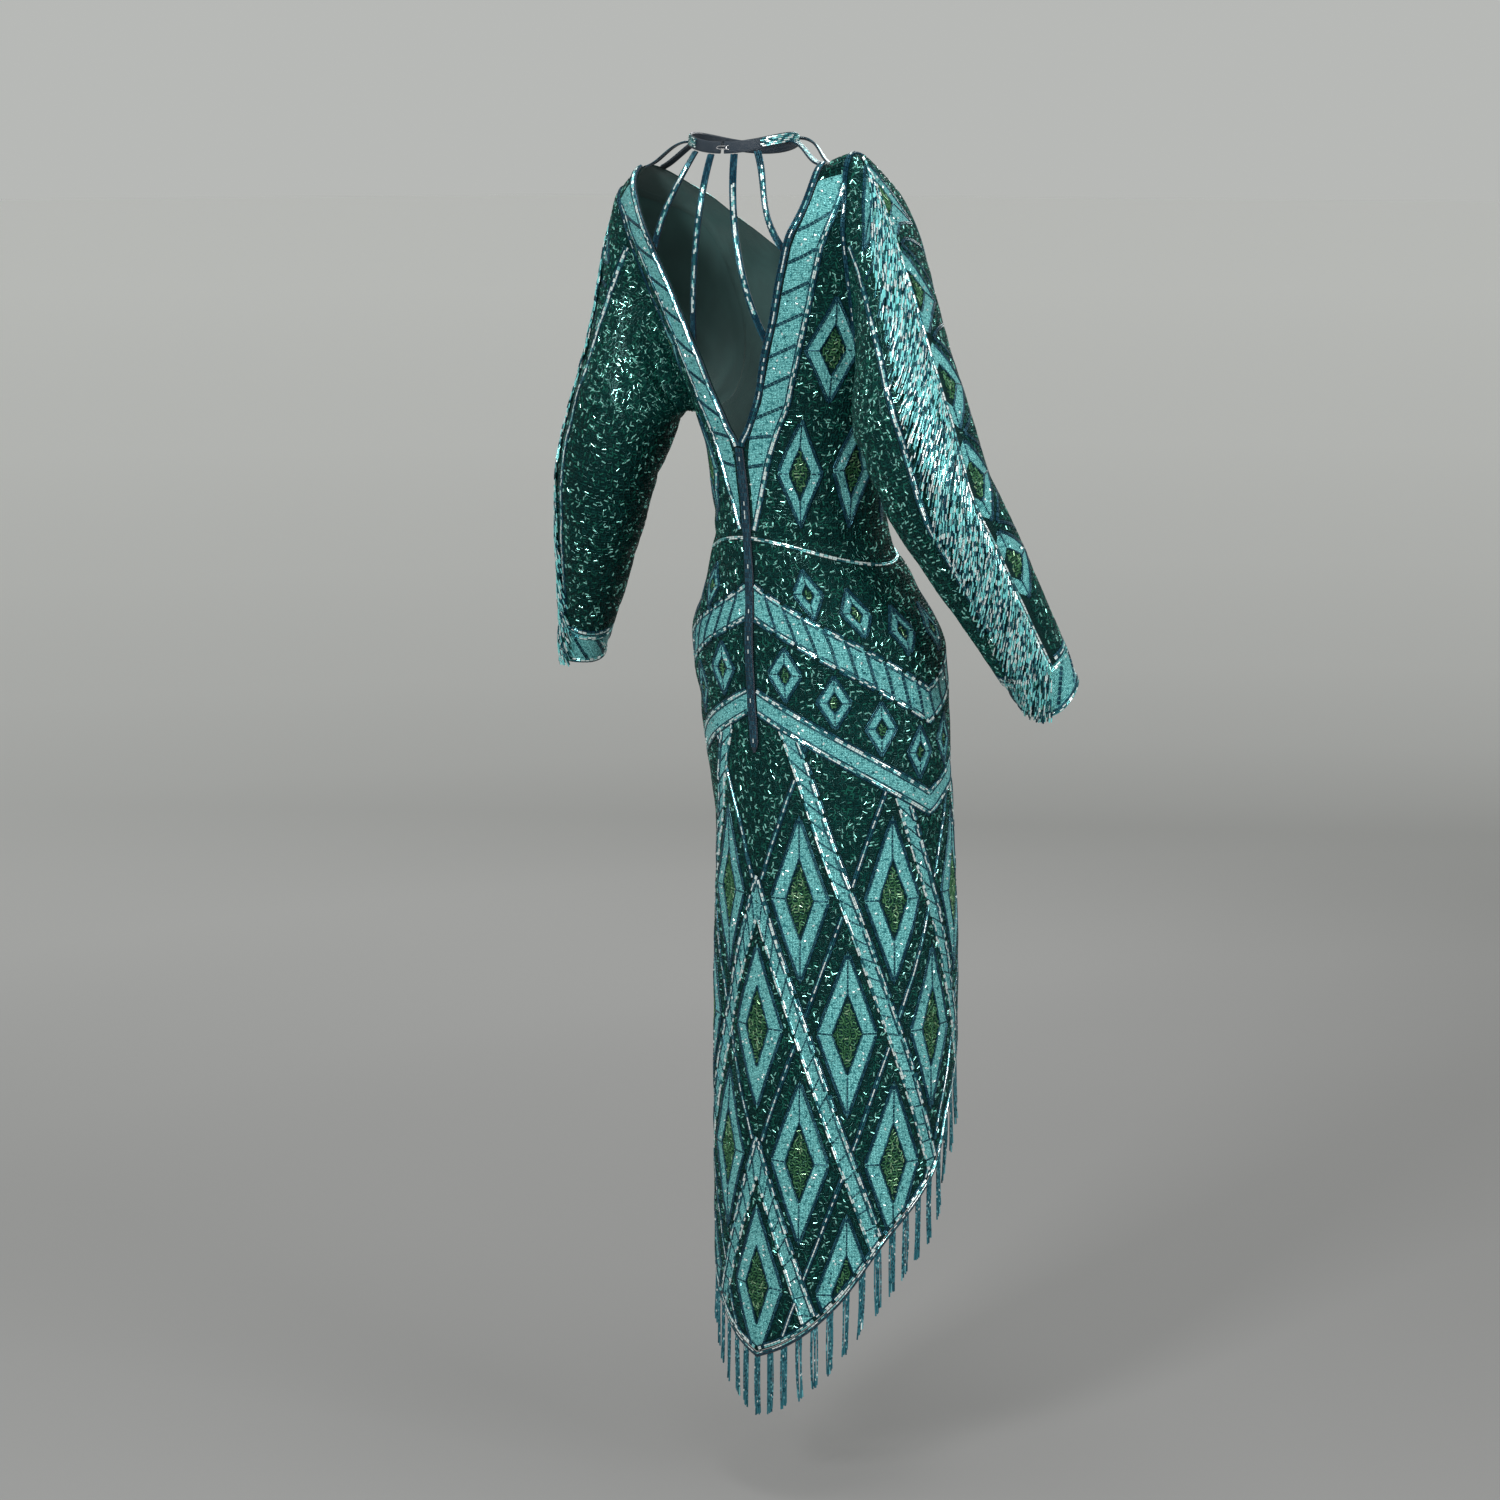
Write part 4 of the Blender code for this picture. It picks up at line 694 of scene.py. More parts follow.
class SleeveCloth:
    """A sleeve with its cuff: places on it by the share of the way round and the length down."""

    def __init__(self, side, rows):
        sleeve, cuff = sleeve_form(side, rows)
        plain = np.concatenate([sleeve, cuff])
        self.sleeve_rows = len(sleeve)
        downs = lengths_along(sleeve[:, 0])
        self.sleeve_end = downs[-1]
        cuff_downs = self.sleeve_end + SEAM + np.linspace(0, CUFF_LENGTH, len(cuff))
        self.downs = np.concatenate([downs, cuff_downs])
        height = creased(*np.meshgrid(np.arange(SLEEVE_COLUMNS) / SLEEVE_COLUMNS, self.downs),
                         ARM_CREASES[side], 0.33)
        tied = (np.clip(self.downs / TIED_TOP, 0.0, 1.0)
                * np.clip((self.sleeve_end - self.downs) / TIED_END, 0, 1))
        self.grid = plain + outward_of(plain) * (height * tied[:, None])[..., None]
        self.normals = outward_of(self.grid)
        self.girths = np.linalg.norm(self.grid - np.roll(self.grid, 1, axis=1), axis=-1).sum(axis=1)

    def place(self, round_share, down, lift=0.0):
        """Points lifted off the face, and the normals there."""
        round_share, down = np.broadcast_arrays(np.asarray(round_share, dtype=float), down)
        row = np.interp(down, self.downs, np.arange(len(self.downs)))
        low = np.clip(np.floor(row).astype(int), 0, len(self.downs) - 2)
        share_row = (row - low)[..., None]
        col = (round_share % 1.0) * SLEEVE_COLUMNS
        left = np.floor(col).astype(int) % SLEEVE_COLUMNS
        right = (left + 1) % SLEEVE_COLUMNS
        share_col = (col - np.floor(col))[..., None]

        def blend(values):
            upper = values[low, left] * (1 - share_col) + values[low, right] * share_col
            lower = values[low + 1, left] * (1 - share_col) + values[low + 1, right] * share_col
            return upper * (1 - share_row) + lower * share_row

        normal = unit(blend(self.normals))
        return blend(self.grid) + normal * np.asarray(lift)[..., None], normal


TURQUOISE = ((0.285, 0.76, 0.745), (0.03, 0.17, 0.185), 560.0, 0.33)
sleeves = {1: SleeveCloth(1, LEFT_ARM_ROWS), -1: SleeveCloth(-1, RIGHT_ARM_ROWS)}
cuff_cloth = beaded_ground("turquoise_cuff", *TURQUOISE, 0.0005, 0.9)
for side, side_name in SIDES:
    cloth = sleeves[side]
    for name, rings, face, slot in (
            ("sleeve", cloth.grid[:cloth.sleeve_rows], ground_cloth, "beaded_cloth"),
            ("cuff", cloth.grid[cloth.sleeve_rows:], cuff_cloth, "turquoise_cloth")):
        tube = np.concatenate([rings, rings[:, :1]], axis=1)
        cloth_wall(sheet_over(f"{name}_{side_name}_cloth", tube[:, ::-side], closed=True),
                   (face, wrong_side), CLOTH, f"{name}_{side_name}")

# --- beadwork of the body ----------------------------------------------------------------------
# The cloth is covered by hand: short glass bugles in every direction on the dark ground, patches
# of close turquoise beads, and rows of navy and silver-lined bugles sewn round them. The design is
# a plain one of lozenges, chevrons and a diamond lattice.
NAVY_ROWS, SILVER_ROWS, FEW_SILVER = "navy", "silver", "navy_few"
ROW_PITCH = 0.0049                # from bead to bead along a row
ROW_APART = 0.00195
LINE_KINDS = {                    # rows of bugles side by side: their colour, from left to right
    "main": (NAVY_ROWS, SILVER_ROWS, SILVER_ROWS, NAVY_ROWS),
    "silver": (SILVER_ROWS, SILVER_ROWS),
    "navy": (NAVY_ROWS, NAVY_ROWS),
    "thin": (NAVY_ROWS,),
    "hem": (NAVY_ROWS, SILVER_ROWS, SILVER_ROWS),
    "crossing": (NAVY_ROWS, SILVER_ROWS, NAVY_ROWS),      # passes under the patches
}
GROUND_CELL = 0.0035
GROUND_BEAD = (0.0046, 0.0017, 0.0013)     # length, width, height
ROW_BEAD = (0.0044, 0.0018, 0.0016)
BRIGHT_BEAD = (0.0026, 0.0019, 0.0014)
PATCH_LIFT = 0.0006
PATCH_CELL = 0.0075
SPARKLE_SHARE = 0.11              # of the places on a patch, one bright bead
FEW_SHARE = 0.16                  # of the beads in a navy row with a few silver ones
ROW_LIFT, FINE_STEP = 0.0002, 0.002
GROUND_SORTS = ("ground", "olive", "silver")
steady = np.random.default_rng(11)


def glass_bugles(name, colour, roughness, metallic):
    """Glass beads: one colour through, very glossy."""
    return new_material(name, {
        "Base Color": (*colour, 1), "Roughness": roughness, "Metallic": metallic,
        "Specular IOR Level": 0.26, "Specular Tint": TEAL_GLINT})[0]


GLASS_ROWS = (                    # sort, name, colour, roughness, metal, share of the sort
    ("ground", "deep_teal_bugles", (0.001, 0.02, 0.019), 0.16, 0.0, 0.4),
    ("ground", "teal_bugles", (0.002, 0.036, 0.032), 0.15, 0.0, 0.33),
    ("ground", "green_bugles", (0.008, 0.08, 0.058), 0.15, 0.0, 0.15),
    # painted glint: a bright copy of the ground's glass, standing for beads that catch the lamps
    ("ground", "painted_glint_bugles", (0.3, 0.74, 0.65), 0.16, 0.85, 0.12),
    ("olive", "olive_bugles", (0.022, 0.085, 0.036), 0.18, 0.0, 0.52),
    ("olive", "moss_bugles", (0.06, 0.17, 0.075), 0.18, 0.1, 0.36),
    # painted glint: a bright copy of the olive glass, standing for beads that catch the lamps
    ("olive", "painted_glint_moss_bugles", (0.25, 0.43, 0.25), 0.16, 0.6, 0.12),
    ("navy", "navy_bugles", (0.004, 0.028, 0.05), 0.18, 0.1, 0.62),
    ("navy", "slate_bugles", (0.016, 0.07, 0.105), 0.18, 0.2, 0.38),
    ("silver", "silver_lined_bugles", (0.86, 0.98, 0.97), 0.12, 0.6, 0.46),
    ("silver", "aqua_lined_bugles", (0.25, 0.64, 0.65), 0.14, 0.6, 0.26),
    # painted shade: a dark copy of the silver glass, standing for silver beads turned from the
    # lamps and for the dark gaps between beads
    ("silver", "painted_shade_silver_bugles", (0.016, 0.105, 0.13), 0.16, 0.3, 0.28),
    ("turquoise", "turquoise_bugles", (0.16, 0.56, 0.56), 0.28, 0.0, 0.7),
    ("turquoise", "pale_turquoise_bugles", (0.3, 0.72, 0.71), 0.22, 0.2, 0.3),
    ("slate", "slate_string_beads", (0.028, 0.135, 0.17), 0.3, 0.0, 0.62),
    ("slate", "deep_slate_string_beads", (0.012, 0.065, 0.09), 0.26, 0.0, 0.26),
    # painted glint: a bright copy of the strings' slate glass, standing for beads that catch the
    # lamps
    ("slate", "painted_glint_slate_beads", (0.16, 0.42, 0.47), 0.2, 0.3, 0.12),
)
BEAD_GLASS = {}
for sort, name, colour, roughness, metallic, share in GLASS_ROWS:
    BEAD_GLASS.setdefault(sort, []).append((glass_bugles(name, colour, roughness, metallic), share))
turquoise_patch = beaded_ground("turquoise_patch", *TURQUOISE, 0.0006, 0.9)


def sewn_mesh(name, corners, quads, slot, materials, numbers=0, smooth=True):
    """Many four-cornered faces as one piece; numbers say which material each face has."""
    mesh = bpy.data.meshes.new(name)
    mesh.vertices.add(len(corners))
    mesh.vertices.foreach_set("co", corners.reshape(-1).astype(np.float32))
    mesh.loops.add(quads.size)
    mesh.loops.foreach_set("vertex_index", quads.reshape(-1).astype(np.int32))
    mesh.polygons.add(len(quads))
    mesh.polygons.foreach_set("loop_start", np.arange(0, quads.size, 4, dtype=np.int32))
    mesh.polygons.foreach_set("use_smooth", np.full(len(quads), smooth))
    numbers = np.repeat(numbers, len(quads) // np.size(numbers))
    mesh.polygons.foreach_set("material_index", numbers.astype(np.int32))
    mesh.update(calc_edges=True)
    for material in materials:
        mesh.materials.append(material)
    piece = bpy.data.objects.new(name, mesh)
    bpy.context.scene.collection.objects.link(piece)
    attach(piece, "root")
    return piece


def repeated(corners, faces):
    """Corners of many like things and the faces of one, as one list of each."""
    corners = np.stack(corners, axis=1)
    steps = np.arange(len(corners))[:, None, None] * corners.shape[1]
    return corners.reshape(-1, 3), (np.array(faces)[None] + steps).reshape(-1, 4)


def glass_of(sorts):
    return [material for sort in sorts for material, _ in BEAD_GLASS[sort]]


def sew_bugles(name, centres, runs, normals, sizes, glass, sorts, slot="bead_band"):
    """Many bugles as one mesh: each is the upper side of a tube lying on the cloth.

    centres lie on the cloth, runs are the beads' directions and sizes their length, width and
    height; glass is the number of each bead's material among the sorts. In the ground, where
    there are most, a bead has two faces, and else three."""
    runs, normals, sizes = unit(runs), unit(normals), np.asarray(sizes)
    aside = unit(np.cross(normals, runs))
    length, width, height = (sizes[..., k:k + 1] for k in range(3))
    section = ((-0.5, 0.0), (-0.32, 0.85), (0.32, 0.85), (0.5, 0.0))
    if slot == "beaded_cloth":
        section = ((-0.5, 0.0), (0.0, 1.0), (0.5, 0.0))
    corners = [centres + runs * length * end + aside * width * across + normals * height * up
               for end in (-0.5, 0.5) for across, up in section]
    ring = len(section)
    faces = [[strip + 1, ring + strip + 1, ring + strip, strip] for strip in range(ring - 1)]
    return sewn_mesh(name, *repeated(corners, faces), slot, glass_of(sorts), glass)


def pick_glass(sort, count, first=0):
    """A material number for each bead, drawn in the shares of its sort."""
    shares = np.array([share for _, share in BEAD_GLASS[sort]])
    return first + steady.choice(len(shares), size=count, p=shares / shares.sum())


def rows_along(name, rows):
    """Bugles end to end along lines; each row is its points, its normals and its sort of glass."""
    sorts = (NAVY_ROWS, SILVER_ROWS)
    first = {NAVY_ROWS: 0, SILVER_ROWS: len(BEAD_GLASS[NAVY_ROWS])}
    if all(sort == SILVER_ROWS for _, _, sort in rows):
        sorts, first = (SILVER_ROWS,), {SILVER_ROWS: 0}
    beads, glass = [], []
    for points, normals, sort in rows:
        reach = lengths_along(points)
        count = int(reach[-1] / ROW_PITCH)
        at = (np.arange(count) + 0.5) * reach[-1] / count
        beads.append([at_lengths(values, reach, at)
                      for values in (points, np.gradient(points, axis=0), normals)])
        plain = NAVY_ROWS if sort == FEW_SILVER else sort
        glass.append(pick_glass(plain, count, first[plain]))
        if sort == FEW_SILVER:
            glass[-1][steady.random(count) < FEW_SHARE] = first[SILVER_ROWS]
    sew_bugles(name, *map(np.concatenate, zip(*beads)), ROW_BEAD, np.concatenate(glass), sorts)


class Beadwork:
    """The design on one surface: patches and rows, and where the ground's bugles go."""

    def __init__(self, surface, unit_length, period, allowed):
        self.surface = surface            # places and normals from across, down and lift
        self.unit_length = unit_length    # metres to a unit across, at a place down
        self.period = period
        self.allowed = allowed
        self.patches, self.cores, self.lines = [], [], []

    def around(self, across, centre):
        half = self.period / 2
        return (across - centre + half) % self.period - half

    def patch(self, *corners):
        self.patches.append(np.array(corners, dtype=float))

    def line(self, kind, *points):
        self.lines.append((kind, np.array(points, dtype=float)))

    def lozenge(self, across, down, half_across, half_down, core=0.5, outline="navy"):
        """A frame of turquoise round an olive middle, mitred at its corners."""
        ways = ((0, 1), (1, 0), (0, -1), (-1, 0))
        outer = [(across + x * half_across, down + y * half_down) for x, y in ways]
        inner = [(across + x * half_across * core, down + y * half_down * core) for x, y in ways]
        for k in range(4):
            n = (k + 1) % 4
            self.patch(outer[k], outer[n], inner[n], inner[k])
            self.line("thin", inner[k], outer[k])
        self.cores.append(np.array(inner, dtype=float))
        self.line("thin", *inner, inner[0])
        self.line(outline, *outer, outer[0])

    def inside(self, quad, across, down):
        """Whether places lie in a four-cornered patch."""
        x = self.around(across, quad[:, 0].mean())
        corners = quad - (quad[:, 0].mean(), 0.0)
        sides = [(*corner, *after) for corner, after in zip(corners, np.roll(corners, -1, axis=0))]
        turned = 1.0 if sum(x0 * y1 - x1 * y0 for x0, y0, x1, y1 in sides) > 0 else -1.0
        held = np.ones(len(across), dtype=bool)
        for x0, y0, x1, y1 in sides:
            held &= turned * ((x1 - x0) * (down - y0) - (y1 - y0) * (x - x0)) >= 0
        return held

    def near_line(self, points, across, down, reach):
        """Whether places lie within reach, in metres, of a line of points."""
        length = self.unit_length(down)
        held = np.zeros(len(across), dtype=bool)
        for (x0, y0), (x1, y1) in zip(points[:-1], points[1:]):
            x = self.around(across, x0) * length
            y = down - y0
            run_x, run_y = (x1 - x0) * length, y1 - y0
            t = np.clip((x * run_x + y * run_y) / (run_x ** 2 + run_y ** 2 + 1e-12), 0.0, 1.0)
            held |= (x - t * run_x) ** 2 + (y - t * run_y) ** 2 < reach * reach
        return held

    def may_meet(self, one, other):
        """Whether the boxes round two lines come near each other."""
        low, high = one.min(axis=0), one.max(axis=0)
        other_low, other_high = other.min(axis=0), other.max(axis=0)
        apart = np.abs((low + high - other_low - other_high) / 2)
        apart[0] = abs(self.around(apart[0], 0.0))
        near = (high - low + other_high - other_low) / 2
        near += 0.01 / np.array([float(self.unit_length((low[1] + high[1]) / 2)), 1.0])
        return bool((apart < near).all())

    def half_width(self, kind):
        return len(LINE_KINDS[kind]) * ROW_APART / 2

    def strip(self, one, other):
        """Patches between two lines of points."""
        for k in range(len(one) - 1):
            self.patch(one[k], other[k], other[k + 1], one[k + 1])

    def sew_patches(self, name, held_in=lambda across, down: (across, down)):
        """All patches as one mesh a little off the cloth, mapped in metres."""
        corners, uvs, quads, start = [], [], [], 0
        for quad in self.patches:
            scale = (float(self.unit_length(quad[:, 1].mean())), 1.0)
            lengths = (np.linalg.norm(ways * scale, axis=1).max()
                       for ways in (quad[1:3] - quad[[0, 3]], quad[2:4] - quad[[1, 0]]))
            cols, rows = (max(2, int(np.ceil(length / PATCH_CELL)) + 1) for length in lengths)
            s, t = np.meshgrid(np.linspace(0, 1, cols), np.linspace(0, 1, rows))
            s, t = s[..., None], t[..., None]
            places = ((quad[0] * (1 - s) + quad[1] * s) * (1 - t)
                      + (quad[3] * (1 - s) + quad[2] * s) * t)
            across, down = held_in(places[..., 0], places[..., 1])
            points, normals = self.surface(across, down, np.full(across.shape, PATCH_LIFT))
            run = np.cross(points[0, -1] - points[0, 0], points[-1, 0] - points[0, 0])
            other = np.cross(points[-1, -1] - points[0, -1], points[-1, -1] - points[-1, 0])
            outward = np.dot(run + other, normals[rows // 2, cols // 2]) > 0
            at = np.arange(rows * cols).reshape(rows, cols) + start
            cells = np.stack([at[:-1, :-1], at[:-1, 1:], at[1:, 1:], at[1:, :-1]], axis=-1)
            quads.append(cells.reshape(-1, 4)[:, ::1 if outward else -1])
            corners.append(points.reshape(-1, 3))
            uvs.append((np.stack([across, down], axis=-1) * scale).reshape(-1, 2))
            start += rows * cols
        corners, uvs, quads = np.concatenate(corners), np.concatenate(uvs), np.concatenate(quads)
        piece = sewn_mesh(name, corners, quads, "turquoise_cloth", [turquoise_patch])
        piece.data.uv_layers.new(name="cloth")
        places = uvs[quads.reshape(-1)].reshape(-1).astype(np.float32)
        piece.data.uv_layers[0].uv.foreach_set("vector", places)

    def row_beads(self):
        """Centres, runs and normals of the bugles in every row of every line, by colour."""
        made = {NAVY_ROWS: [], SILVER_ROWS: []}
        for number, (kind, points) in enumerate(self.lines):
            fine = []
            for start, end in zip(points[:-1], points[1:]):
                scale = (float(self.unit_length((start[1] + end[1]) / 2)), 1.0)
                steps = max(2, int(np.linalg.norm((end - start) * scale) / FINE_STEP))
                shares = np.linspace(0, 1, steps, endpoint=False)[:, None]
                fine.append(start + (end - start) * shares)
            fine = np.concatenate(fine + [points[-1:]])
            places, normals = self.surface(fine[:, 0], fine[:, 1], np.full(len(fine), ROW_LIFT))
            reach = lengths_along(places)
            count = int(reach[-1] / ROW_PITCH)
            if count < 1:
                continue
            at = (np.arange(count) + 0.5) * reach[-1] / count
            centre, normal = at_lengths(places, reach, at), unit(at_lengths(normals, reach, at))
            ahead = at_lengths(places, reach, at + 0.0015) - at_lengths(places, reach, at - 0.0015)
            aside = unit(np.cross(normal, ahead))
            across, down = at_lengths(fine, reach, at).T
            keep = self.allowed(across, down, 0.001)
            for other_kind, other in self.lines[:number]:
                if self.may_meet(points, other):
                    keep &= ~self.near_line(other, across, down, self.half_width(other_kind))
            if kind == "crossing":
                for quad in self.patches + self.cores:
                    keep &= ~self.inside(quad, across, down)
            rows = LINE_KINDS[kind]
            for index, colour in enumerate(rows):
                offset = (index - (len(rows) - 1) / 2) * ROW_APART
                made[colour].append(((centre + aside * offset)[keep], ahead[keep], normal[keep]))
        return made

    def ground_sorts(self, across, down):
        """For each place: 0 for ground, 1 for an olive middle, 2 for a patch, -1 for a row."""
        sort = np.zeros(len(across), dtype=int)
        order = np.argsort(down, kind="stable")
        across, down = across[order], down[order]
        held = np.zeros(len(across), dtype=int)
        for shapes, value in ((self.patches, 2), (self.cores, 1)):
            for quad in shapes:
                rows = slice(*np.searchsorted(down, (quad[:, 1].min(), quad[:, 1].max())))
                held[rows][self.inside(quad, across[rows], down[rows])] = value
        for kind, points in self.lines:
            reach = self.half_width(kind) + 0.0012
            ends = (points[:, 1].min() - reach, points[:, 1].max() + reach)
            rows = slice(*np.searchsorted(down, ends))
            held[rows][self.near_line(points, across[rows], down[rows], reach)] = -1
        sort[order] = held
        return sort


def sew_rows(end_of_name, *works):
    """The navy and the silver rows of some beadwork, each colour as one piece."""
    made = [work.row_beads() for work in works]
    for sort in (NAVY_ROWS, SILVER_ROWS):
        beads = [np.concatenate(part) for part in zip(*sum((rows[sort] for rows in made), []))]
        glass = pick_glass(sort, len(beads[0]))
        sew_bugles(f"{sort}_rows_{end_of_name}", *beads, ROW_BEAD, glass, (sort,))


def basket_row(row, count, at):
    """Places along a row of ground bugles, in shares of its length, the row's slightly uneven
    height, and the way each bugle is turned."""
    number = np.arange(count)
    shares = (number + steady.uniform(-0.16, 0.16, count) + 0.5 * (row % 2)) / count
    return shares, at + steady.uniform(-0.0005, 0.0005, count), 90.0 * ((number + row) % 2)


def scatter(work, name, across, down, turned):
    """Ground bugles at places on a surface, turned one way and the other like a plain basket."""
    sorts = work.ground_sorts(across, down)
    keep = (sorts >= 0) & work.allowed(across, down, GROUND_CELL)
    keep &= (sorts < 2) | (steady.random(len(across)) < SPARKLE_SHARE)
    across, down, sorts, turned = across[keep], down[keep], sorts[keep], turned[keep]
    places, normals = work.surface(across, down, np.where(sorts == 2, PATCH_LIFT, 0.0001))
    upward = places - work.surface(across, down - 0.001, np.zeros(len(across)))[0]
    upward = unit(upward - normals * np.sum(upward * normals, axis=1, keepdims=True))
    angles = np.radians(turned + steady.normal(0.0, 24.0, len(across)))[:, None]
    runs = upward * np.sin(angles) + np.cross(normals, upward) * np.cos(angles)
    sizes = np.array(GROUND_BEAD) * (1.0 + steady.uniform(-0.12, 0.12, (len(across), 1)))
    sizes[sorts == 2] = BRIGHT_BEAD
    glass = np.zeros(len(across), dtype=int)
    first = 0
    for number, sort in enumerate(GROUND_SORTS):
        mine = sorts == number
        glass[mine] = pick_glass(sort, int(mine.sum()), first)
        first += len(BEAD_GLASS[sort])
    sew_bugles(name, places, runs, normals, sizes, glass, GROUND_SORTS, "beaded_cloth")


ring_levels = np.linspace(CROWN, HEM_POINT - 0.02, 240)
ring_turns = np.linspace(0.0, 360.0, 181)
ring_girths = np.array([lengths_along(on_form(ring_turns, np.full(181, value)))[-1]
                        for value in ring_levels])


def body_unit(level):
    return np.interp(-np.asarray(level), -ring_levels, ring_girths) / 360.0


def half_gap(rows, level):
    """Half the width of the open back or of the neckline at a level; nothing below it."""
    gap = from_rows(rows, level)
    return np.where(np.asarray(level) < rows[0][0], 0.0, np.clip(gap, 0.0, None))


def armhole_turn(behind, level):
    """The turn of the armhole's edge, behind or before the side seam."""
    turns, levels = armhole_line(behind)
    return np.interp(level, levels, turns)


PLACKET_WIDTH, PLACKET_TOP, PLACKET_END = 0.011, -0.333, -0.67
BINDING_WIDTH = 0.0085
EDGE_CLEAR, HEM_CLEAR, ARMHOLE_CLEAR = 0.001, 0.007, 1.2     # metres, metres, degrees


def on_panels(turn, level, margin):
    """Whether a place is on the body's cloth, by a margin in metres, and clear of its bands."""
    turn = signed(turn)
    beside = np.abs(turn)
    length = body_unit(level)
    behind = beside < 90.0
    held = level > hem_level(turn) + margin
    gap = EDGE_CLEAR + np.where(behind, half_gap(BACK_V_ROWS, level) + BINDING_WIDTH,
                                half_gap(NECKLINE_ROWS, level))
    gap = np.where(behind & (level < BACK_V_ROWS[0][0] - 0.004),
                   np.where(level > PLACKET_END, PLACKET_WIDTH / 2, 0.0), gap)
    gap = np.where(~behind & (level < NECKLINE_ROWS[0][0]), 0.0, gap)
    centre = turn_at(gap, level)
    edge = np.where(behind, beside, 180.0 - beside)
    held &= edge * length > centre * length + margin * (gap > 0)
    hole = np.where(behind, armhole_turn(True, level), 180.0 - armhole_turn(False, level))
    held &= (level < ARMPIT) | (edge < hole - margin / length)
    return held & (level < CROWN - 0.0005)


def kept_on_panels(turn, level):
    """Places of a patch, drawn in to the hem and the armholes where they pass them."""
    turn = signed(turn) + np.where(turn > 180.0, 360.0, 0.0)
    level = np.maximum(level, hem_level(turn) + HEM_CLEAR)
    side, beside = np.sign(signed(turn)), np.abs(signed(turn))
    hole_back = armhole_turn(True, level) - ARMHOLE_CLEAR
    hole_front = armhole_turn(False, level) + ARMHOLE_CLEAR
    high = level > ARMPIT
    back = np.where(high & (beside < 90.0), np.minimum(beside, hole_back), beside)
    both = np.where(high & (back >= 90.0), np.maximum(back, hole_front), back)
    return turn + side * (both - beside), level


body_beads = Beadwork(body_cloth, body_unit, 360.0, on_panels)
BORDER_LEVELS = (-0.046, -0.08, -0.114, -0.148, -0.182, -0.216, -0.25, -0.284, -0.318, -0.35,
                 -0.384, -0.424)
BORDER_NEAR, BORDER_FAR = 0.01, 0.04
BORDER_SLANT = 0.016
NECKLINE_NEAR, NECKLINE_FAR = 0.004, 0.03
HIP_CHEVRONS = ((-0.482, 0.036, 9.0), (-0.598, 0.024, 0.0))       # peak, depth, bars' slant
CHEVRON_DROP = 0.115
WAIST_LINE = (-0.433, 0.028)
LATTICE_TOP, LATTICE_RISE, LATTICE_TURN = -0.83, 0.15, 22.5
LOZENGE_TURN, LOZENGE_HEIGHT = 14.2, 0.095
LATTICE_BAND = 3.4                # degrees to each side of the line down its middle
BODICE_LOZENGES = (               # turn, level, half turn, half height
    (52.0, -0.224, 14.5, 0.058), (38.0, -0.36, 13.5, 0.06), (72.0, -0.356, 14.0, 0.064),
    (148.0, -0.24, 14.0, 0.06), (166.0, -0.36, 12.0, 0.056), (136.0, -0.36, 13.0, 0.06),
    (106.0, -0.356, 12.5, 0.062),
)
HIP_LOZENGES = (                  # level at the centre back, turns, half turn, half height, drop
    (-0.462, (33.0, 55.0, 77.0, 103.0, 125.0, 147.0), 8.0, 0.027, 0.08),
    (-0.559, (17.0, 39.0, 61.0, 83.0, 105.0, 127.0, 149.0, 171.0), 8.0, 0.03, CHEVRON_DROP),
)


def drop_at(turn):
    """Nothing at the centre back and front, 1 at the side seams."""
    return 1.0 - np.abs(np.abs(turn) - 90.0) / 90.0


for side in (1, -1):
    # the border of the open back, narrowing to the centre back below the V
    near, far = [], []
    for level in BORDER_LEVELS:
        below = (BACK_V_ROWS[0][0] - level) / (BACK_V_ROWS[0][0] - BORDER_LEVELS[-1])
        width = (BORDER_FAR - BORDER_NEAR) * (1.0 - min(max(below, 0.0), 1.0)) + 0.0004
        near_gap = max(float(half_gap(BACK_V_ROWS, level)) + BORDER_NEAR, 0.0075)
        near.append((side * float(turn_at(near_gap, level)), level))
        far.append((side * float(turn_at(near_gap + width, level)), level))
    body_beads.strip(near, far)
    body_beads.line("main", *far)
    for k in range(1, len(near) - 2):
        lift = BORDER_SLANT if k < len(near) - 4 else 0.004
        low = (near[k][0] * 0.5 + near[k + 1][0] * 0.5, near[k][1] - lift)
        body_beads.line("navy", far[k], low)
    # the border of the neckline
    near, far = [], []
    slopes = np.gradient(np.array(NECKLINE_ROWS)[:, ::-1], axis=0)
    for (level, gap), slope in zip(NECKLINE_ROWS[:-1], slopes[:-1]):
        outward = np.array([slope[1], -slope[0]]) / np.linalg.norm(slope)
        if gap == 0.0:
            outward = np.array([0.0, -1.0])
        for line, reach in ((near, NECKLINE_NEAR), (far, NECKLINE_FAR)):
            place_gap, place_level = (gap, level) + outward * reach
            turn = 180.0 - float(turn_at(max(place_gap, 0.0), place_level))
            line.append((side * turn, place_level))
    body_beads.strip(near, far)
    for k in range(1, len(near) - 1):
        body_beads.line("navy", near[k], far[k])
    body_beads.line("silver", *near)
    body_beads.line("main", *far)
    for turn, level, half_turn, half_height in BODICE_LOZENGES:
        body_beads.lozenge(side * turn, level, half_turn, half_height)

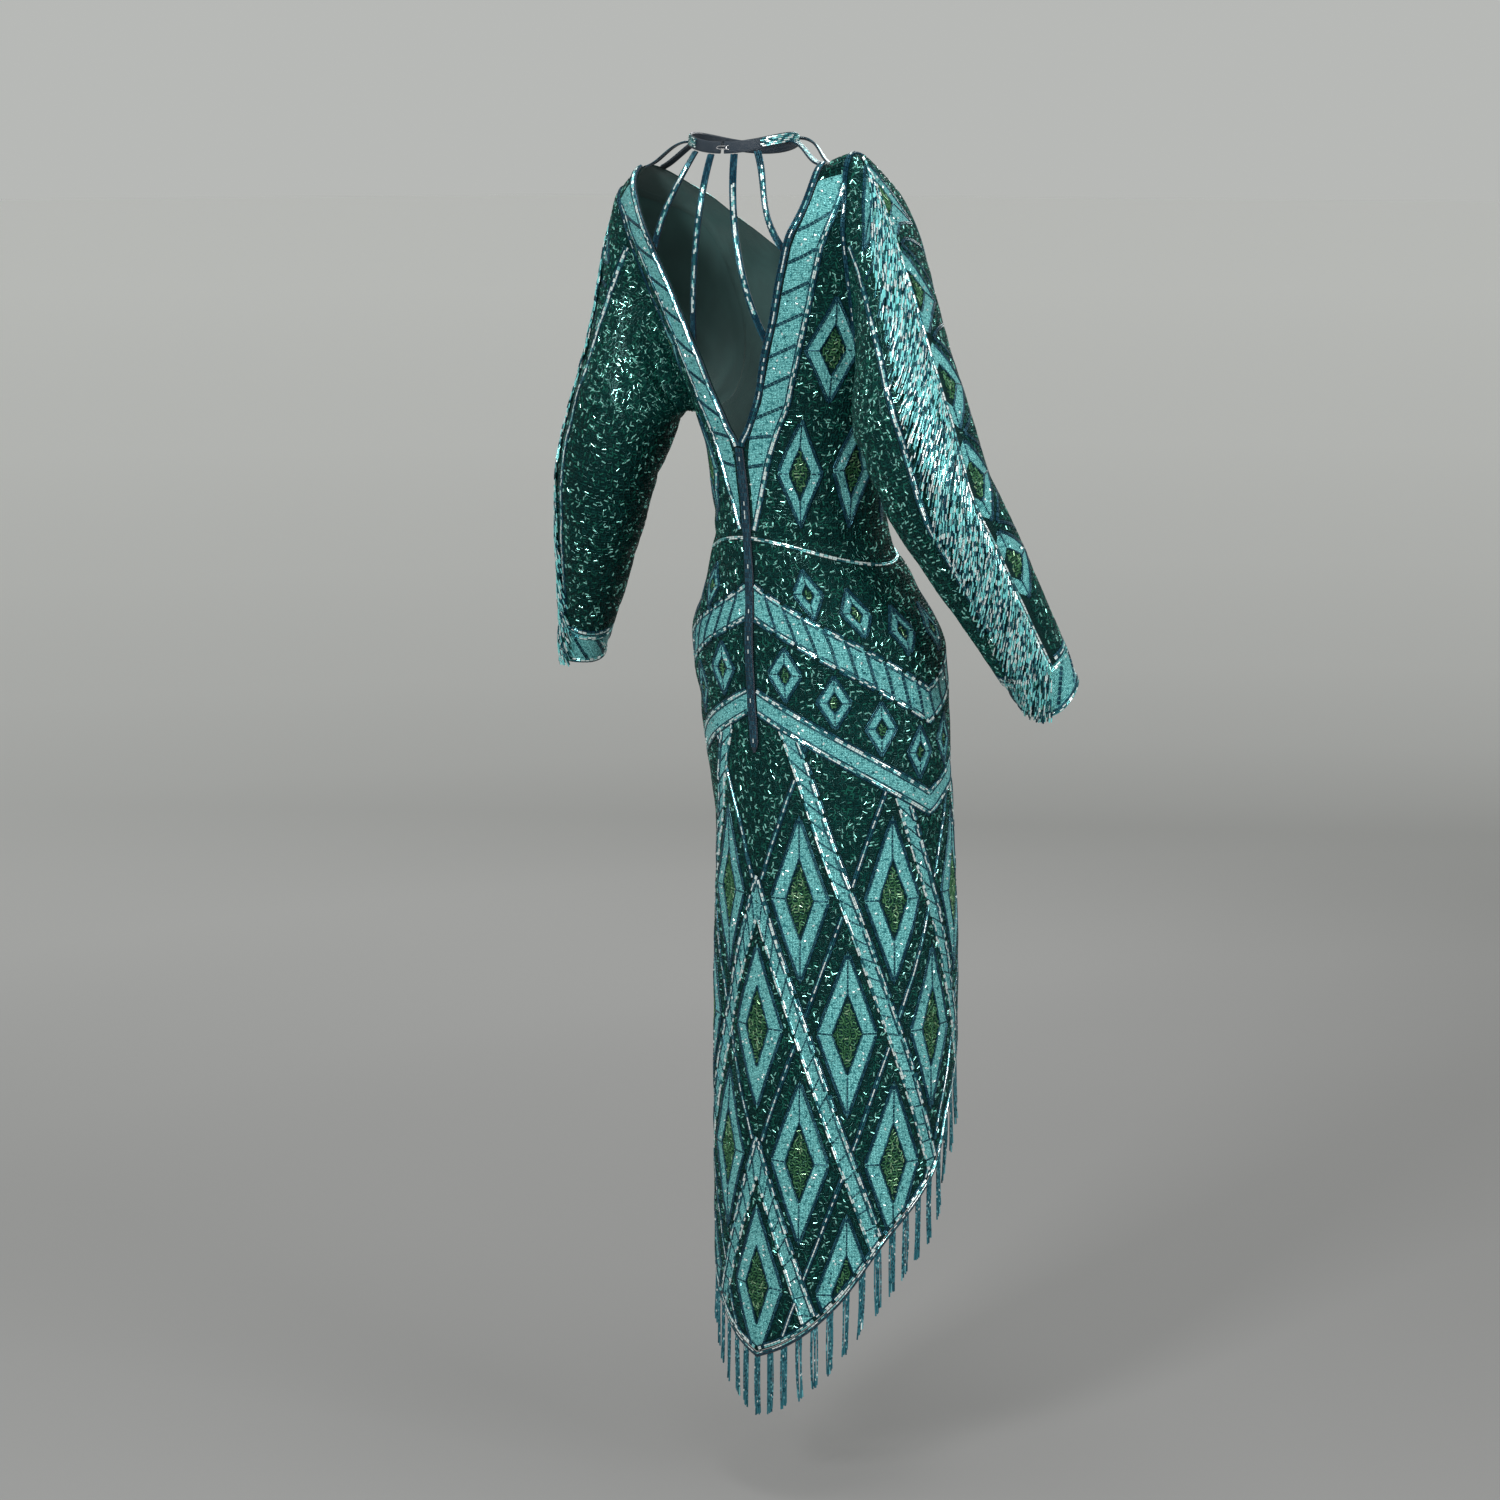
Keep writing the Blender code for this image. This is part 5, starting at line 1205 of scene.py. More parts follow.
for peak, depth, bar in HIP_CHEVRONS:
    for side in (1, -1):
        stops = np.arange(0.0, 180.1, 9.0)
        stops[0] = 2.8 if peak > PLACKET_END else 0.0
        top = [(side * turn, peak - CHEVRON_DROP * drop_at(turn)) for turn in stops]
        foot = [(turn, level - depth) for turn, level in top]
        body_beads.strip(top, foot)
        for k in range(1, len(stops) - 1 if bar else 0):
            low = peak - depth - CHEVRON_DROP * drop_at(stops[k] + bar * 0.55)
            body_beads.line("navy", top[k], (top[k][0] + side * bar * 0.55, low))
        body_beads.line("main", *top)
        body_beads.line("main", *foot)
for side in (1, -1):
    waist_turns = np.linspace(3.0, 180.0, 25)
    waist_levels = WAIST_LINE[0] - WAIST_LINE[1] * np.sin(np.radians(waist_turns)) ** 2
    body_beads.line("silver", *np.stack([side * waist_turns, waist_levels], axis=1))
    for level, turns, half_turn, half_height, fall in HIP_LOZENGES:
        for turn in turns:
            body_beads.lozenge(side * turn, level - fall * drop_at(turn), half_turn, half_height,
                               core=0.42)

for row in range(4):
    level = LATTICE_TOP - row * LATTICE_RISE
    first = LATTICE_TURN if row % 2 == 0 else 0.0
    for turn in np.arange(first, 180.1, 2 * LATTICE_TURN):
        if level + LOZENGE_HEIGHT * 0.65 < float(hem_level(turn)):
            continue
        for side in ((1, -1) if 0.0 < turn < 180.0 else (1,)):
            body_beads.lozenge(side * turn, level, LOZENGE_TURN, LOZENGE_HEIGHT)


def lattice_line(start, way, shift=0.0):
    """A slanting line over the skirt, from under the lower chevron to the hem, on one half."""
    steps = np.linspace(-2.0, 4.6, 500)
    turns = start + way * steps * LATTICE_TURN + shift
    levels = LATTICE_TOP - steps * LATTICE_RISE
    foot = HIP_CHEVRONS[1][0] - HIP_CHEVRONS[1][1] - CHEVRON_DROP * drop_at(turns) - 0.003
    held = (turns >= 0.0) & (turns <= 180.0) & (levels <= foot)
    held &= levels > hem_level(turns) + 0.006
    return np.stack([turns[held], levels[held]], axis=1)


def thinned(line, count):
    return line[np.linspace(0, len(line) - 1, count).astype(int)]


for start in np.arange(-5, 8, 2) * LATTICE_TURN:
    edges = [lattice_line(start + LATTICE_TURN, 1, shift)
             for shift in (-LATTICE_BAND, LATTICE_BAND)]
    if min(len(edge) for edge in edges) < 12:
        continue
    count = int(max(len(edge) for edge in edges) / 500 * 6.6 * 14) + 1
    for side in (1, -1):
        left, right = (thinned(edge, count) * (side, 1.0) for edge in edges)
        body_beads.strip(left, right)
        for k in range(1, count - 1, 2):
            body_beads.line("thin", left[k], right[k + 1])
        body_beads.line("silver", *left)
        body_beads.line("main", *right)
for start in np.arange(0, 13, 2) * LATTICE_TURN:
    line = lattice_line(start, -1)
    if len(line) > 12:
        for side in (1, -1):
            body_beads.line("crossing", *(thinned(line, 9) * (side, 1.0)))
hem_turns = np.linspace(-180.0, 180.0, 121)
body_beads.line("hem", *[(turn, float(hem_level(turn)) + 0.0042) for turn in hem_turns])

body_beads.sew_patches("turquoise_patches_body", kept_on_panels)
sew_rows("body", body_beads)

meridian_levels = np.linspace(CROWN, HEM_POINT, 4000)
down_reach = lengths_along(on_form(np.full(4000, 60.0), meridian_levels))
circle_turns = np.linspace(-180.0, 180.0, 721)
places = []
for row, at in enumerate(np.arange(0.002, down_reach[-1], GROUND_CELL)):
    level = float(np.interp(at, down_reach, meridian_levels))
    circle = lengths_along(on_form(circle_turns, np.full(721, level)))
    shares, levels, turned = basket_row(row, int(circle[-1] / GROUND_CELL), level)
    turn = np.interp(np.clip(shares * circle[-1], 0, circle[-1]), circle, circle_turns)
    places.append((turn, levels, turned))
places = np.concatenate(places, axis=1)
for panel, low in (("back_left", 0.0), ("back_right", -90.0), ("front_left", 90.0),
                   ("front_right", -180.0)):
    mine = (places[0] > low) & (places[0] <= low + 90.0)
    scatter(body_beads, f"bugles_{panel}", *places[:, mine])

# --- beadwork of the sleeves and cuffs -----------------------------------------------------------
# A chain of lozenges runs down the outer line of each arm between two silver-edged rows, under the
# fringe. The rest is dark ground, and the turquoise cuffs have slanting navy rows.
SLEEVE_LOZENGES = ((0.062, 0.115, 0.046), (0.168, 0.105, 0.048), (0.274, 0.11, 0.048),
                   (0.38, 0.115, 0.046), (0.482, 0.12, 0.042))      # down, half round, half down
SLEEVE_BORDER = 0.15              # share of the way round, behind and before the outer line
SLEEVE_SLANT = 0.03
CUFF_SLANTS = 7
TRIM_CLEAR = 0.008                # the ground stops this far from the line the fringe is sewn to
for side, side_name in SIDES:
    cloth = sleeves[side]
    end, cuff_top, cuff_end = cloth.sleeve_end, cloth.sleeve_end + SEAM, cloth.downs[-1]

    def round_length(down, cloth=cloth):
        return np.interp(down, cloth.downs, cloth.girths)

    def on_sleeve(round_share, down, margin, cloth=cloth, end=end):
        aside = (np.asarray(round_share) + 0.5) % 1.0 - 0.5
        along_trim = np.abs(aside - 0.045 * down / end) * round_length(down, cloth)
        return (along_trim > TRIM_CLEAR) & (down > 0.003 + margin) & (down < end - 0.001 - margin)

    def on_cuff(round_share, down, margin, top=cuff_top, low=cuff_end):
        return (down > top + margin) & (down < low - margin * 0.5)

    work = Beadwork(cloth.place, round_length, 1.0, on_sleeve)
    for down, half_round, half_down in SLEEVE_LOZENGES:
        work.lozenge(0.0, down, half_round, half_down)
    for way in (1, -1):
        work.line("main", *[(way * SLEEVE_BORDER * (1.0 + 0.35 * share), share * end)
                            for share in np.linspace(0.02, 0.97, 12)])
        for upper, lower in zip(SLEEVE_LOZENGES[:-1], SLEEVE_LOZENGES[1:]):
            middle = (upper[0] + lower[0]) / 2
            for slant in (SLEEVE_SLANT, -SLEEVE_SLANT):
                far = (way * SLEEVE_BORDER * 0.9, middle + slant)
                work.line("navy", (way * 0.012, middle), far)
    cuff_work = Beadwork(cloth.place, round_length, 1.0, on_cuff)
    for sewn, kind, down in ((work, "main", end - 0.0045), (cuff_work, "hem", cuff_end - 0.0034),
                             (cuff_work, "silver", cuff_top + 0.0035)):
        sewn.line(kind, *[(share, down) for share in np.linspace(0.0, 1.0, 49)])
    work.sew_patches(f"turquoise_patches_sleeve_{side_name}")
    for k in range(CUFF_SLANTS):
        for kind, shift in (("navy", 0.0), ("silver", 0.03))[:1 + k % 2]:
            start = k / CUFF_SLANTS + shift
            cuff_work.line(kind, (start, cuff_top + 0.007), (start + 0.1, cuff_end - 0.0075))
    sew_rows(f"sleeve_{side_name}", work, cuff_work)
    places = [basket_row(row, int(round_length(down) / GROUND_CELL), down)
              for row, down in enumerate(np.arange(0.004, end - 0.002, GROUND_CELL))]
    scatter(work, f"bugles_sleeve_{side_name}", *np.concatenate(places, axis=1))

# --- seams ---------------------------------------------------------------------------------------
# Navy bugles cover the seam round each armhole. Inside, narrow tapes are sewn over the edges of
# every long seam.
TAPE_HALF, TAPE_THICKNESS = 0.0045, 0.0004
TAPE_LIFT = -(CLOTH + 0.0003)
ROW_IN, ROW_UP, RIDGE_UP = 0.0022, 0.0004, 0.0009      # the armhole rows, beside and on its ridge


def closed_round(values):
    return np.concatenate([values, values[:1]])


for side, side_name in SIDES:
    loop, turns, levels = armhole_seam(side, SLEEVE_COLUMNS)
    normals = body_cloth(turns, levels)[1]
    into = unit(np.cross(normals, unit(np.roll(loop, -1, axis=0) - np.roll(loop, 1, axis=0))))
    into *= -np.sign(np.sum(into[:, 0] * side))
    shares = np.arange(SLEEVE_COLUMNS) / SLEEVE_COLUMNS
    arm, arm_normals = sleeves[side].place(shares, ROW_IN, ROW_UP)
    mean = unit(normals + arm_normals)
    body_row = loop + into * ROW_IN + normals * ROW_UP
    rows_along(f"armhole_rows_{side_name}",
               [(closed_round(points), closed_round(out), sort) for points, out, sort in
                ((body_row, normals, NAVY_ROWS), (loop + mean * RIDGE_UP, mean, FEW_SILVER),
                 (arm, arm_normals, NAVY_ROWS))])
    strip = np.stack([loop + into * TAPE_HALF + normals * TAPE_LIFT,
                      loop + mean * (TAPE_LIFT - 0.0006),
                      sleeves[side].place(shares, TAPE_HALF, TAPE_LIFT)[0]])
    strip = np.concatenate([strip, strip[:, :1]], axis=1)
    cloth_wall(sheet_over(f"armhole_tape_{side_name}", strip[:, ::side], closed=True),
               (wrong_side, wrong_side), TAPE_THICKNESS)
for name, turn, high in (("back", 0.0, -0.664), ("side_left", 90.0, ARMPIT - 0.004),
                         ("side_right", -90.0, ARMPIT - 0.004)):
    levels = np.linspace(high, float(hem_level(turn)) + 0.001, 60)
    strips = [body_cloth(turn + aside / body_unit(levels), levels, TAPE_LIFT)[0]
              for aside in (TAPE_HALF, 0.0, -TAPE_HALF)]
    cloth_wall(sheet_over(f"seam_tape_{name}", np.stack(strips, axis=1)), (wrong_side, wrong_side),
               TAPE_THICKNESS)

# --- collar and its hook -------------------------------------------------------------------------
# A narrow band of navy satin goes round the neck and closes at the back with a wire hook. It is
# beaded with rows of silver-lined and turquoise bugles, but for the ends beside the opening.
COLLAR_RADIUS, COLLAR_HEIGHT, COLLAR_THICKNESS = 0.06, 0.013, 0.0024
COLLAR_TURN, COLLAR_SLIT, COLLAR_RISE, COLLAR_DIP, COLLAR_SLOPE = 20.0, 4.0, 0.003, 0.011, 0.15
COLLAR_BEADED = (36.0, 318.0)     # turns round the collar between which the beads lie
COLLAR_BEAD_ROWS = (0.0046, 0.0026, 0.0006, -0.0014, -0.0034)
HOOK_WIRE, EYE_WIRE = 0.0009, 0.0007
HOOK_ROWS = ((-4.5, 0.0015), (0.0, 0.0018), (4.5, 0.0015), (6.0, 0.0), (4.5, -0.0015),
             (0.0, -0.0018), (-4.5, -0.0015))         # turn from the centre back, height
EYE_ROWS = ((7.5, 0.0022), (5.2, 0.002), (4.4, 0.0), (5.2, -0.002), (7.5, -0.0022))
LAID = 0.0006
navy_satin = woven("navy_satin_band", (0.004, 0.016, 0.03), 0.38, 1400.0, 0.05)


def collar_place(turn, height=0.0, outward=0.0):
    """Points on the collar's outer face; height is from its middle line."""
    turn, height = np.broadcast_arrays(np.asarray(turn, float), np.asarray(height, float))
    around = np.radians(turn - COLLAR_TURN)
    middle = COLLAR_RISE - COLLAR_DIP * np.cos(np.radians(turn)) ** 2
    radius = COLLAR_RADIUS + outward - COLLAR_SLOPE * height
    return np.stack([radius * np.sin(around), radius * np.cos(around), middle + height], axis=-1)


collar_turns = np.linspace(COLLAR_SLIT / 2, 360.0 - COLLAR_SLIT / 2, 145)
collar_heights = COLLAR_HEIGHT / 2 * np.array([1.0, 0.93, 0.6, 0.0, -0.6, -0.93, -1.0])
roll = np.array([-0.0006, -0.0001, 0.0, 0.0, 0.0, -0.0001, -0.0006])
band = np.stack([collar_place(collar_turns, height, fold)
                 for height, fold in zip(collar_heights, roll)])
cloth_wall(sheet_over("collar_band", band), (navy_satin, navy_satin), COLLAR_THICKNESS - 0.0004,
           "collar")

beads = []
beaded = COLLAR_BEADED[1] - COLLAR_BEADED[0]
count = int(math.radians(beaded) * COLLAR_RADIUS / ROW_PITCH)
turns = COLLAR_BEADED[0] + (np.arange(count) + 0.5) * beaded / count
for row, height in enumerate(COLLAR_BEAD_ROWS):
    places = collar_place(turns + (row % 2) * 2.0, height, 0.0001)
    ahead = collar_place(turns + 1.0 + (row % 2) * 2.0, height) - places
    beads.append((places, ahead, places * (1.0, 1.0, 0.0)))
glass = pick_glass("silver", count * len(COLLAR_BEAD_ROWS))
sew_bugles("collar_bugles", *map(np.concatenate, zip(*beads)),
           np.array(ROW_BEAD) * (1.0, 0.95, 0.7), glass, ("silver",))

steel = new_material("plated_wire", {"Base Color": (0.62, 0.62, 0.63, 1), "Metallic": 1.0,
                                     "Roughness": 0.22})[0]


def bent_wire(name, rows, side, wire, laid):
    """A round wire through some places on the collar, closed at its ends, as a mesh."""
    run = bpy.data.curves.new(name, "CURVE")
    run.dimensions = "3D"
    run.bevel_depth = wire / 2
    run.bevel_resolution = 3
    run.use_fill_caps = True
    line = run.splines.new("NURBS")
    line.points.add(len(rows) - 1)
    for knot, (turn, height) in zip(line.points, rows):
        knot.co = (*collar_place(side * turn, height, HOOK_WIRE / 2 + laid), 1.0)
    line.use_endpoint_u = True
    line.order_u = 3
    line.resolution_u = 6
    piece = bpy.data.objects.new(name, run)
    bpy.context.scene.collection.objects.link(piece)
    chosen(piece)
    bpy.ops.object.convert(target="MESH")
    piece = bpy.context.object
    bpy.ops.object.shade_smooth()
    bpy.ops.object.select_all(action="DESELECT")
    piece.data.materials.clear()
    piece.data.materials.append(steel)
    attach(piece, "root")
    return piece


hook = bent_wire("collar_hook_wire", HOOK_ROWS, 1, HOOK_WIRE, LAID)
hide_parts("collar_hook")
bent_wire("collar_eye_wire", EYE_ROWS, -1, EYE_WIRE, 0.0002)

# --- straps --------------------------------------------------------------------------------------
# Eight narrow straps of navy satin, each sewn over with rows of bugles, run from the collar: four
# down the open back to the edges of the V, two to the tops of the backs and two over the shoulders.
STRAP_WIDTH, STRAP_THICKNESS, STRAP_PART = 0.0085, 0.0017, 0.0008
BACK_STRAP_ROWS = (               # name, collar turn, end's level and span, headings out, aside
    ("inner", 13.0, -0.213, 0.012, 0.45, 0.0, 0.3),
    ("outer", 37.0, -0.115, 0.01, 0.45, 0.2, 0.55))
LEAVE_DOWN, ARRIVE_FORE, ARRIVE_DOWN, TOP_STRAP_PULL = -0.9, -0.34, -0.88, 0.8
TOP_STRAP_ROWS = (("shoulder", 78.0, -0.003, 0.002), ("fore", 112.0, 0.002, 0.011))
STRAP_POINTS = 41
STRAP_BEADED = (0.16, 0.86)       # share of a back strap's length that shines silver and turquoise
STRAP_BEAD = (0.0045, 0.0019, 0.0011)
STRAP_TURN = math.degrees(STRAP_WIDTH / 2 / COLLAR_RADIUS)
STRAPS_INSIDE = (-0.012, -0.03, -0.06)     # a place within, from which every strap faces away


def strap_line(start, leaving, end, arriving, count):
    """Smooth line from one point and heading to another."""
    pull = np.linalg.norm(end - start)
    return bend(np.linspace(0, 1, count)[:, None], start, leaving * pull, end, arriving * pull)


def edge_of(side, behind):
    """The V's edge or the neckline on one side, down from the shoulder: points, normals, levels."""
    turns, levels = neck_line(behind)
    turns, levels = side * turns[::-1], levels[::-1]
    return on_form(turns, levels), body_cloth(turns, levels)[1], levels


def beside_edge(edge, normals, at, side):
    """Point just outside a panel's edge, and the way into its cloth from there."""
    reach = lengths_along(edge)
    facing = unit(at_lengths(normals, reach, at))
    run = at_lengths(edge, reach, at + 0.008) - at_lengths(edge, reach, at - 0.008)
    into = np.cross(facing, run)
    into *= side * np.sign(into[0]) / np.linalg.norm(into)
    return at_lengths(edge, reach, at) - into * STRAP_PART - facing * LAID / 2, into


def beaded_strap(name, rails, plain_ends):
    """A satin strap between two side lines, with four rows of bugles along it."""
    left, right = rails
    middle = (left + right) / 2
    ahead = np.gradient(middle, axis=0)
    facing = unit(np.cross(ahead, right - left))
    if np.sum(facing * (middle - STRAPS_INSIDE)) < 0:
        facing = -facing
    shares = np.array([0.03, 0.25, 0.5, 0.75, 0.97])
    arch = np.array([-0.0005, -0.0001, 0.0, -0.0001, -0.0005]) - 0.0003
    grid = np.stack([left * (1 - share) + right * share + facing * up
                     for share, up in zip(shares, arch)], axis=1)
    if np.sum(np.cross(grid[:-1, 1] - grid[:-1, 0], grid[1:, 0] - grid[:-1, 0]) * facing[:-1]) < 0:
        grid = grid[:, ::-1]
    cloth_wall(sheet_over(f"{name}_satin", grid), (navy_satin, navy_satin),
               STRAP_THICKNESS - 0.0005, name)
    reach = lengths_along(middle)
    count = int(reach[-1] / ROW_PITCH)
    beads, glass = [], []
    for row, aside in enumerate((-0.36, -0.12, 0.12, 0.36)):
        at = (np.arange(count) + 0.5 + 0.25 * (row % 2)) * reach[-1] / (count + 0.5)
        line = middle + (right - left) * aside - facing * 0.0003
        beads.append([at_lengths(values, reach, at) for values in (line, ahead, facing)])
        share = at / reach[-1]
        dark = np.abs(aside) > 0.3
        if plain_ends:
            dark = dark | (share < STRAP_BEADED[0]) | (share > STRAP_BEADED[1])
        navy = pick_glass("navy", count)
        silver = pick_glass("silver", count, len(BEAD_GLASS["navy"]))
        glass.append(np.where(dark, navy, silver))
    sew_bugles(f"{name}_bugles", *map(np.concatenate, zip(*beads)), STRAP_BEAD,
               np.concatenate(glass), ("navy", "silver"))


for side, side_name in SIDES:
    edge, edge_normals, edge_levels = edge_of(side, True)
    reach = lengths_along(edge)
    for name, turn, level, span, out, leave_side, arrive_side in BACK_STRAP_ROWS:
        radial = collar_place(side * turn) * (1.0, 1.0, 0.0) / COLLAR_RADIUS
        leaving = radial * out + np.array([side * leave_side, 0.0, LEAVE_DOWN])
        arriving = np.array([side * arrive_side, ARRIVE_FORE, ARRIVE_DOWN])
        rails = []
        for way in (-1, 1):
            at = float(np.interp(-(level + way * span / 2), -edge_levels, reach))
            end = beside_edge(edge, edge_normals, at, side)[0]
            start = collar_place(side * (turn + way * STRAP_TURN), -COLLAR_HEIGHT / 2 - LAID)
            rails.append(strap_line(start, leaving, end, arriving, STRAP_POINTS))
        beaded_strap(f"strap_back_{name}_{side_name}", rails, True)
    neck, neck_normals, _ = edge_of(side, False)
    for name, turn, height, from_seam in TOP_STRAP_ROWS:
        sewn_to = (edge, edge_normals) if name == "shoulder" else (neck, neck_normals)
        ends = [beside_edge(*sewn_to, length, side)
                for length in (from_seam + STRAP_WIDTH, from_seam)]
        arriving = np.mean([into for _, into in ends], axis=0) * TOP_STRAP_PULL
        ends = [place for place, _ in ends][::-1 if name == "fore" else 1]
        leaving = collar_place(side * turn) * (1.0, 1.0, 0.0) / COLLAR_RADIUS * TOP_STRAP_PULL
        starts = [collar_place(side * (turn + way * STRAP_TURN), height,
                               LAID + COLLAR_SLOPE * STRAP_THICKNESS) for way in (-1, 1)]
        rails = [strap_line(start, leaving, end, arriving, 21) for start, end in zip(starts, ends)]
        beaded_strap(f"strap_{name}_{side_name}", rails, name == "shoulder")

# --- bindings of the open back, placket, zip -----------------------------------------------------
# Beaded bindings lie along both edges of the V. Below it a navy placket covers the centre back
# seam, and behind that lies the zip, with its slider drawn up to the V.
BINDING_START = 0.0125            # below the shoulder seam, along the edge
BINDING_ROWS = {1: ("navy", "silver", "silver", "navy"), -1: ("navy", "navy", "silver", "navy")}
PLACKET_ROWS = (NAVY_ROWS, NAVY_ROWS, FEW_SILVER, NAVY_ROWS, NAVY_ROWS)
PLACKET_POINT = 0.01              # the placket narrows over this length at its foot
ZIP_TOP, ZIP_END, ZIP_TAPE_WIDTH, ZIP_TAPE = -0.336, -0.658, 0.024, 0.0009
TOOTH_PITCH, TOOTH, TOOTH_SHIFT = 0.0017, (0.0056, 0.0011, 0.0012), 0.0006
SLIDER_ROWS = (                   # height, width, length and depth, place outwards
    (0.004, (0.0098, 0.009, 0.0026), -0.0008), (0.002, (0.0034, 0.005, 0.004), -0.0022),
    (-0.015, (0.0046, 0.024, 0.0012), -0.0042))


def line_beside(turns, levels, width):
    """Turns and levels of a line on the body a width, in metres, to one side of another."""
    over_turn = on_form(turns + 0.5, levels) - on_form(turns - 0.5, levels)
    over_level = (on_form(turns, levels + 0.001) - on_form(turns, levels - 0.001)) / 0.002
    run = unit(np.gradient(on_form(turns, levels), axis=0))
    aside = np.cross(unit(np.cross(over_turn, over_level)), run) * width
    tt, ll, tl, at, al = (np.sum(one * other, axis=1) for one, other in (
        (over_turn, over_turn), (over_level, over_level), (over_turn, over_level),
        (aside, over_turn), (aside, over_level)))
    whole = tt * ll - tl * tl
    return turns + (at * ll - al * tl) / whole, levels + (al * tt - at * tl) / whole


def across_centre(levels, half_width, share, lift):
    """Points on the body at a share of half a width to one side of the centre back, and normals."""
    return body_cloth(np.sign(share) * turn_at(np.abs(share) * half_width, levels), levels, lift)


for side, side_name in SIDES:
    turns, levels = neck_line(True)
    reach = lengths_along(on_form(turns, levels))
    at = np.linspace(np.interp(BACK_V_ROWS[0][0], levels, reach), reach[-1] - BINDING_START, 90)
    turns, levels = side * np.interp(at, reach, turns), np.interp(at, reach, levels)
    into = 1.0 if side * line_beside(turns, levels, 0.001)[0][40] > side * turns[40] else -1.0
    section = ((-0.0004, 0.0006), (0.0004, 0.0016), (BINDING_WIDTH / 2, 0.0018),
               (BINDING_WIDTH - 0.0006, 0.0016), (BINDING_WIDTH, 0.0008))     # width, lift
    grid = np.stack([body_cloth(*line_beside(turns, levels, into * width), lift)[0]
                     for width, lift in section], axis=1)
    run = np.cross(grid[1, 0] - grid[0, 0], grid[0, -1] - grid[0, 0])
    if np.dot(run, body_cloth(turns[:1], levels[:1])[1][0]) > 0:
        grid = grid[:, ::-1]
    name = f"binding_back_{side_name}"
    cloth_wall(sheet_over(f"{name}_satin", grid), (navy_satin, navy_satin), 0.0006,
               name)
    places = [line_beside(turns, levels, into * (0.0012 + 0.00202 * row)) for row in range(4)]
    rows_along(f"{name}_bugles", [(*body_cloth(*place, 0.0016), sort)
                                  for place, sort in zip(places, BINDING_ROWS[side])])

stops = np.linspace(PLACKET_TOP, PLACKET_END, 120)
narrowed = (stops - PLACKET_END) / PLACKET_POINT
grid = [across_centre(stops, np.clip(narrowed, 0.1, 1.0) * PLACKET_WIDTH / 2, share, lift)[0]
        for share, lift in ((1.0, 0.0009), (0.9, 0.0017), (0.0, 0.0019), (-0.9, 0.0017),
                            (-1.0, 0.0009))]
cloth_wall(sheet_over("placket_satin", np.stack(grid, axis=1)), (navy_satin, navy_satin), 0.001,
           "placket")
stops, narrowed = stops[:-2], np.clip(narrowed[:-2], 0.3, 1.0)
rows_along("placket_bugles", [(*across_centre(stops, narrowed, (row - 2) * 0.00205, 0.0017), sort)
                              for row, sort in enumerate(PLACKET_ROWS)])

tape_cloth = woven("zip_tape_cloth", (0.42, 0.37, 0.28), 0.7, 1100.0, 0.1)
under = -(CLOTH + LAID)
stops = np.linspace(ZIP_TOP, ZIP_END, 90)
grid = [across_centre(stops, ZIP_TAPE_WIDTH / 2, share, under)[0]
        for share in (1.0, 0.5, 0.0, -0.5, -1.0)]
cloth_wall(sheet_over("zip_tape_cloth", np.stack(grid, axis=1)), (tape_cloth, tape_cloth), ZIP_TAPE,
           "zip_tape")


def small_blocks(name, centres, axes, size, slot, material):
    """Many small blocks as one mesh: their middles, the ways their edges run and their size."""
    axes = [unit(ways) * length / 2 for ways, length in zip(axes, size)]
    corners = [centres + axes[0] * x + axes[1] * y + axes[2] * z for z in (-1, 1)
               for x, y in ((-1, -1), (1, -1), (1, 1), (-1, 1))]
    faces = ((0, 3, 2, 1), (4, 5, 6, 7), (0, 1, 5, 4), (1, 2, 6, 5), (2, 3, 7, 6), (3, 0, 4, 7))
    return sewn_mesh(name, *repeated(corners, faces), slot, [material], smooth=False)


levels = np.arange(ZIP_TOP - 0.012, ZIP_END + 0.004, -TOOTH_PITCH)
middles, facing = body_cloth(np.zeros(len(levels)), levels, under - ZIP_TAPE - 0.0006)
down = np.gradient(middles, axis=0)
across = np.cross(down, facing)
shift = unit(across) * TOOTH_SHIFT * np.where(np.arange(len(levels)) % 2, 1.0, -1.0)[:, None]
dark_wire = glass_bugles("dark_zip_teeth", (0.05, 0.07, 0.09), 0.35, 0.6)
small_blocks("zip_teeth", middles + shift, (across, down, facing), TOOTH, "bright_steel", dark_wire)
slider = joined([small_blocks(f"slider_part_{row}", middles[:1] + (0.0, 0.0, up) + facing[:1] * out,
                              (across[:1], down[:1], facing[:1]), size, None, steel)
                 for row, (up, size, out) in enumerate(SLIDER_ROWS)], "zip_slider")
rounded = chosen(slider).modifiers.new("rounded", "BEVEL")
rounded.width = 0.0006
rounded.segments = 2
bpy.ops.object.modifier_apply(modifier=rounded.name)
bpy.ops.object.shade_smooth_by_angle(angle=math.radians(40))
bpy.ops.object.select_all(action="DESELECT")
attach(slider, "root")

# --- fringes -------------------------------------------------------------------------------------
# Strung beads hang in tassels from a beaded band round the hem. Down the outer line of each sleeve
# a trim carries a close curtain of bugle strands that sweeps back over the arm.
TRIM_HEIGHT, TRIM_PART = 0.005, 0.0012
HEM_TASSELS, HEM_STRINGS, TASSEL_WIDTH = 48, 6, 0.0066
HEM_STRAND_DROP, HEM_STRAND_BEADS, END_BEAD = 0.072, 26, 0.009
STRING_BEAD = 0.0019              # girth of a strung seed bead
SLEEVE_STRINGS = 230
SLEEVE_STRAND_DROP, STRAND_BEAD, STRAND_GIRTH = 0.09, 0.0052, 0.00165
SLEEVE_SWEEP = {1: 0.4, -1: 0.54}
SLEEVE_TRIM_LAID, SLEEVE_TRIM = 0.00095, 0.0016
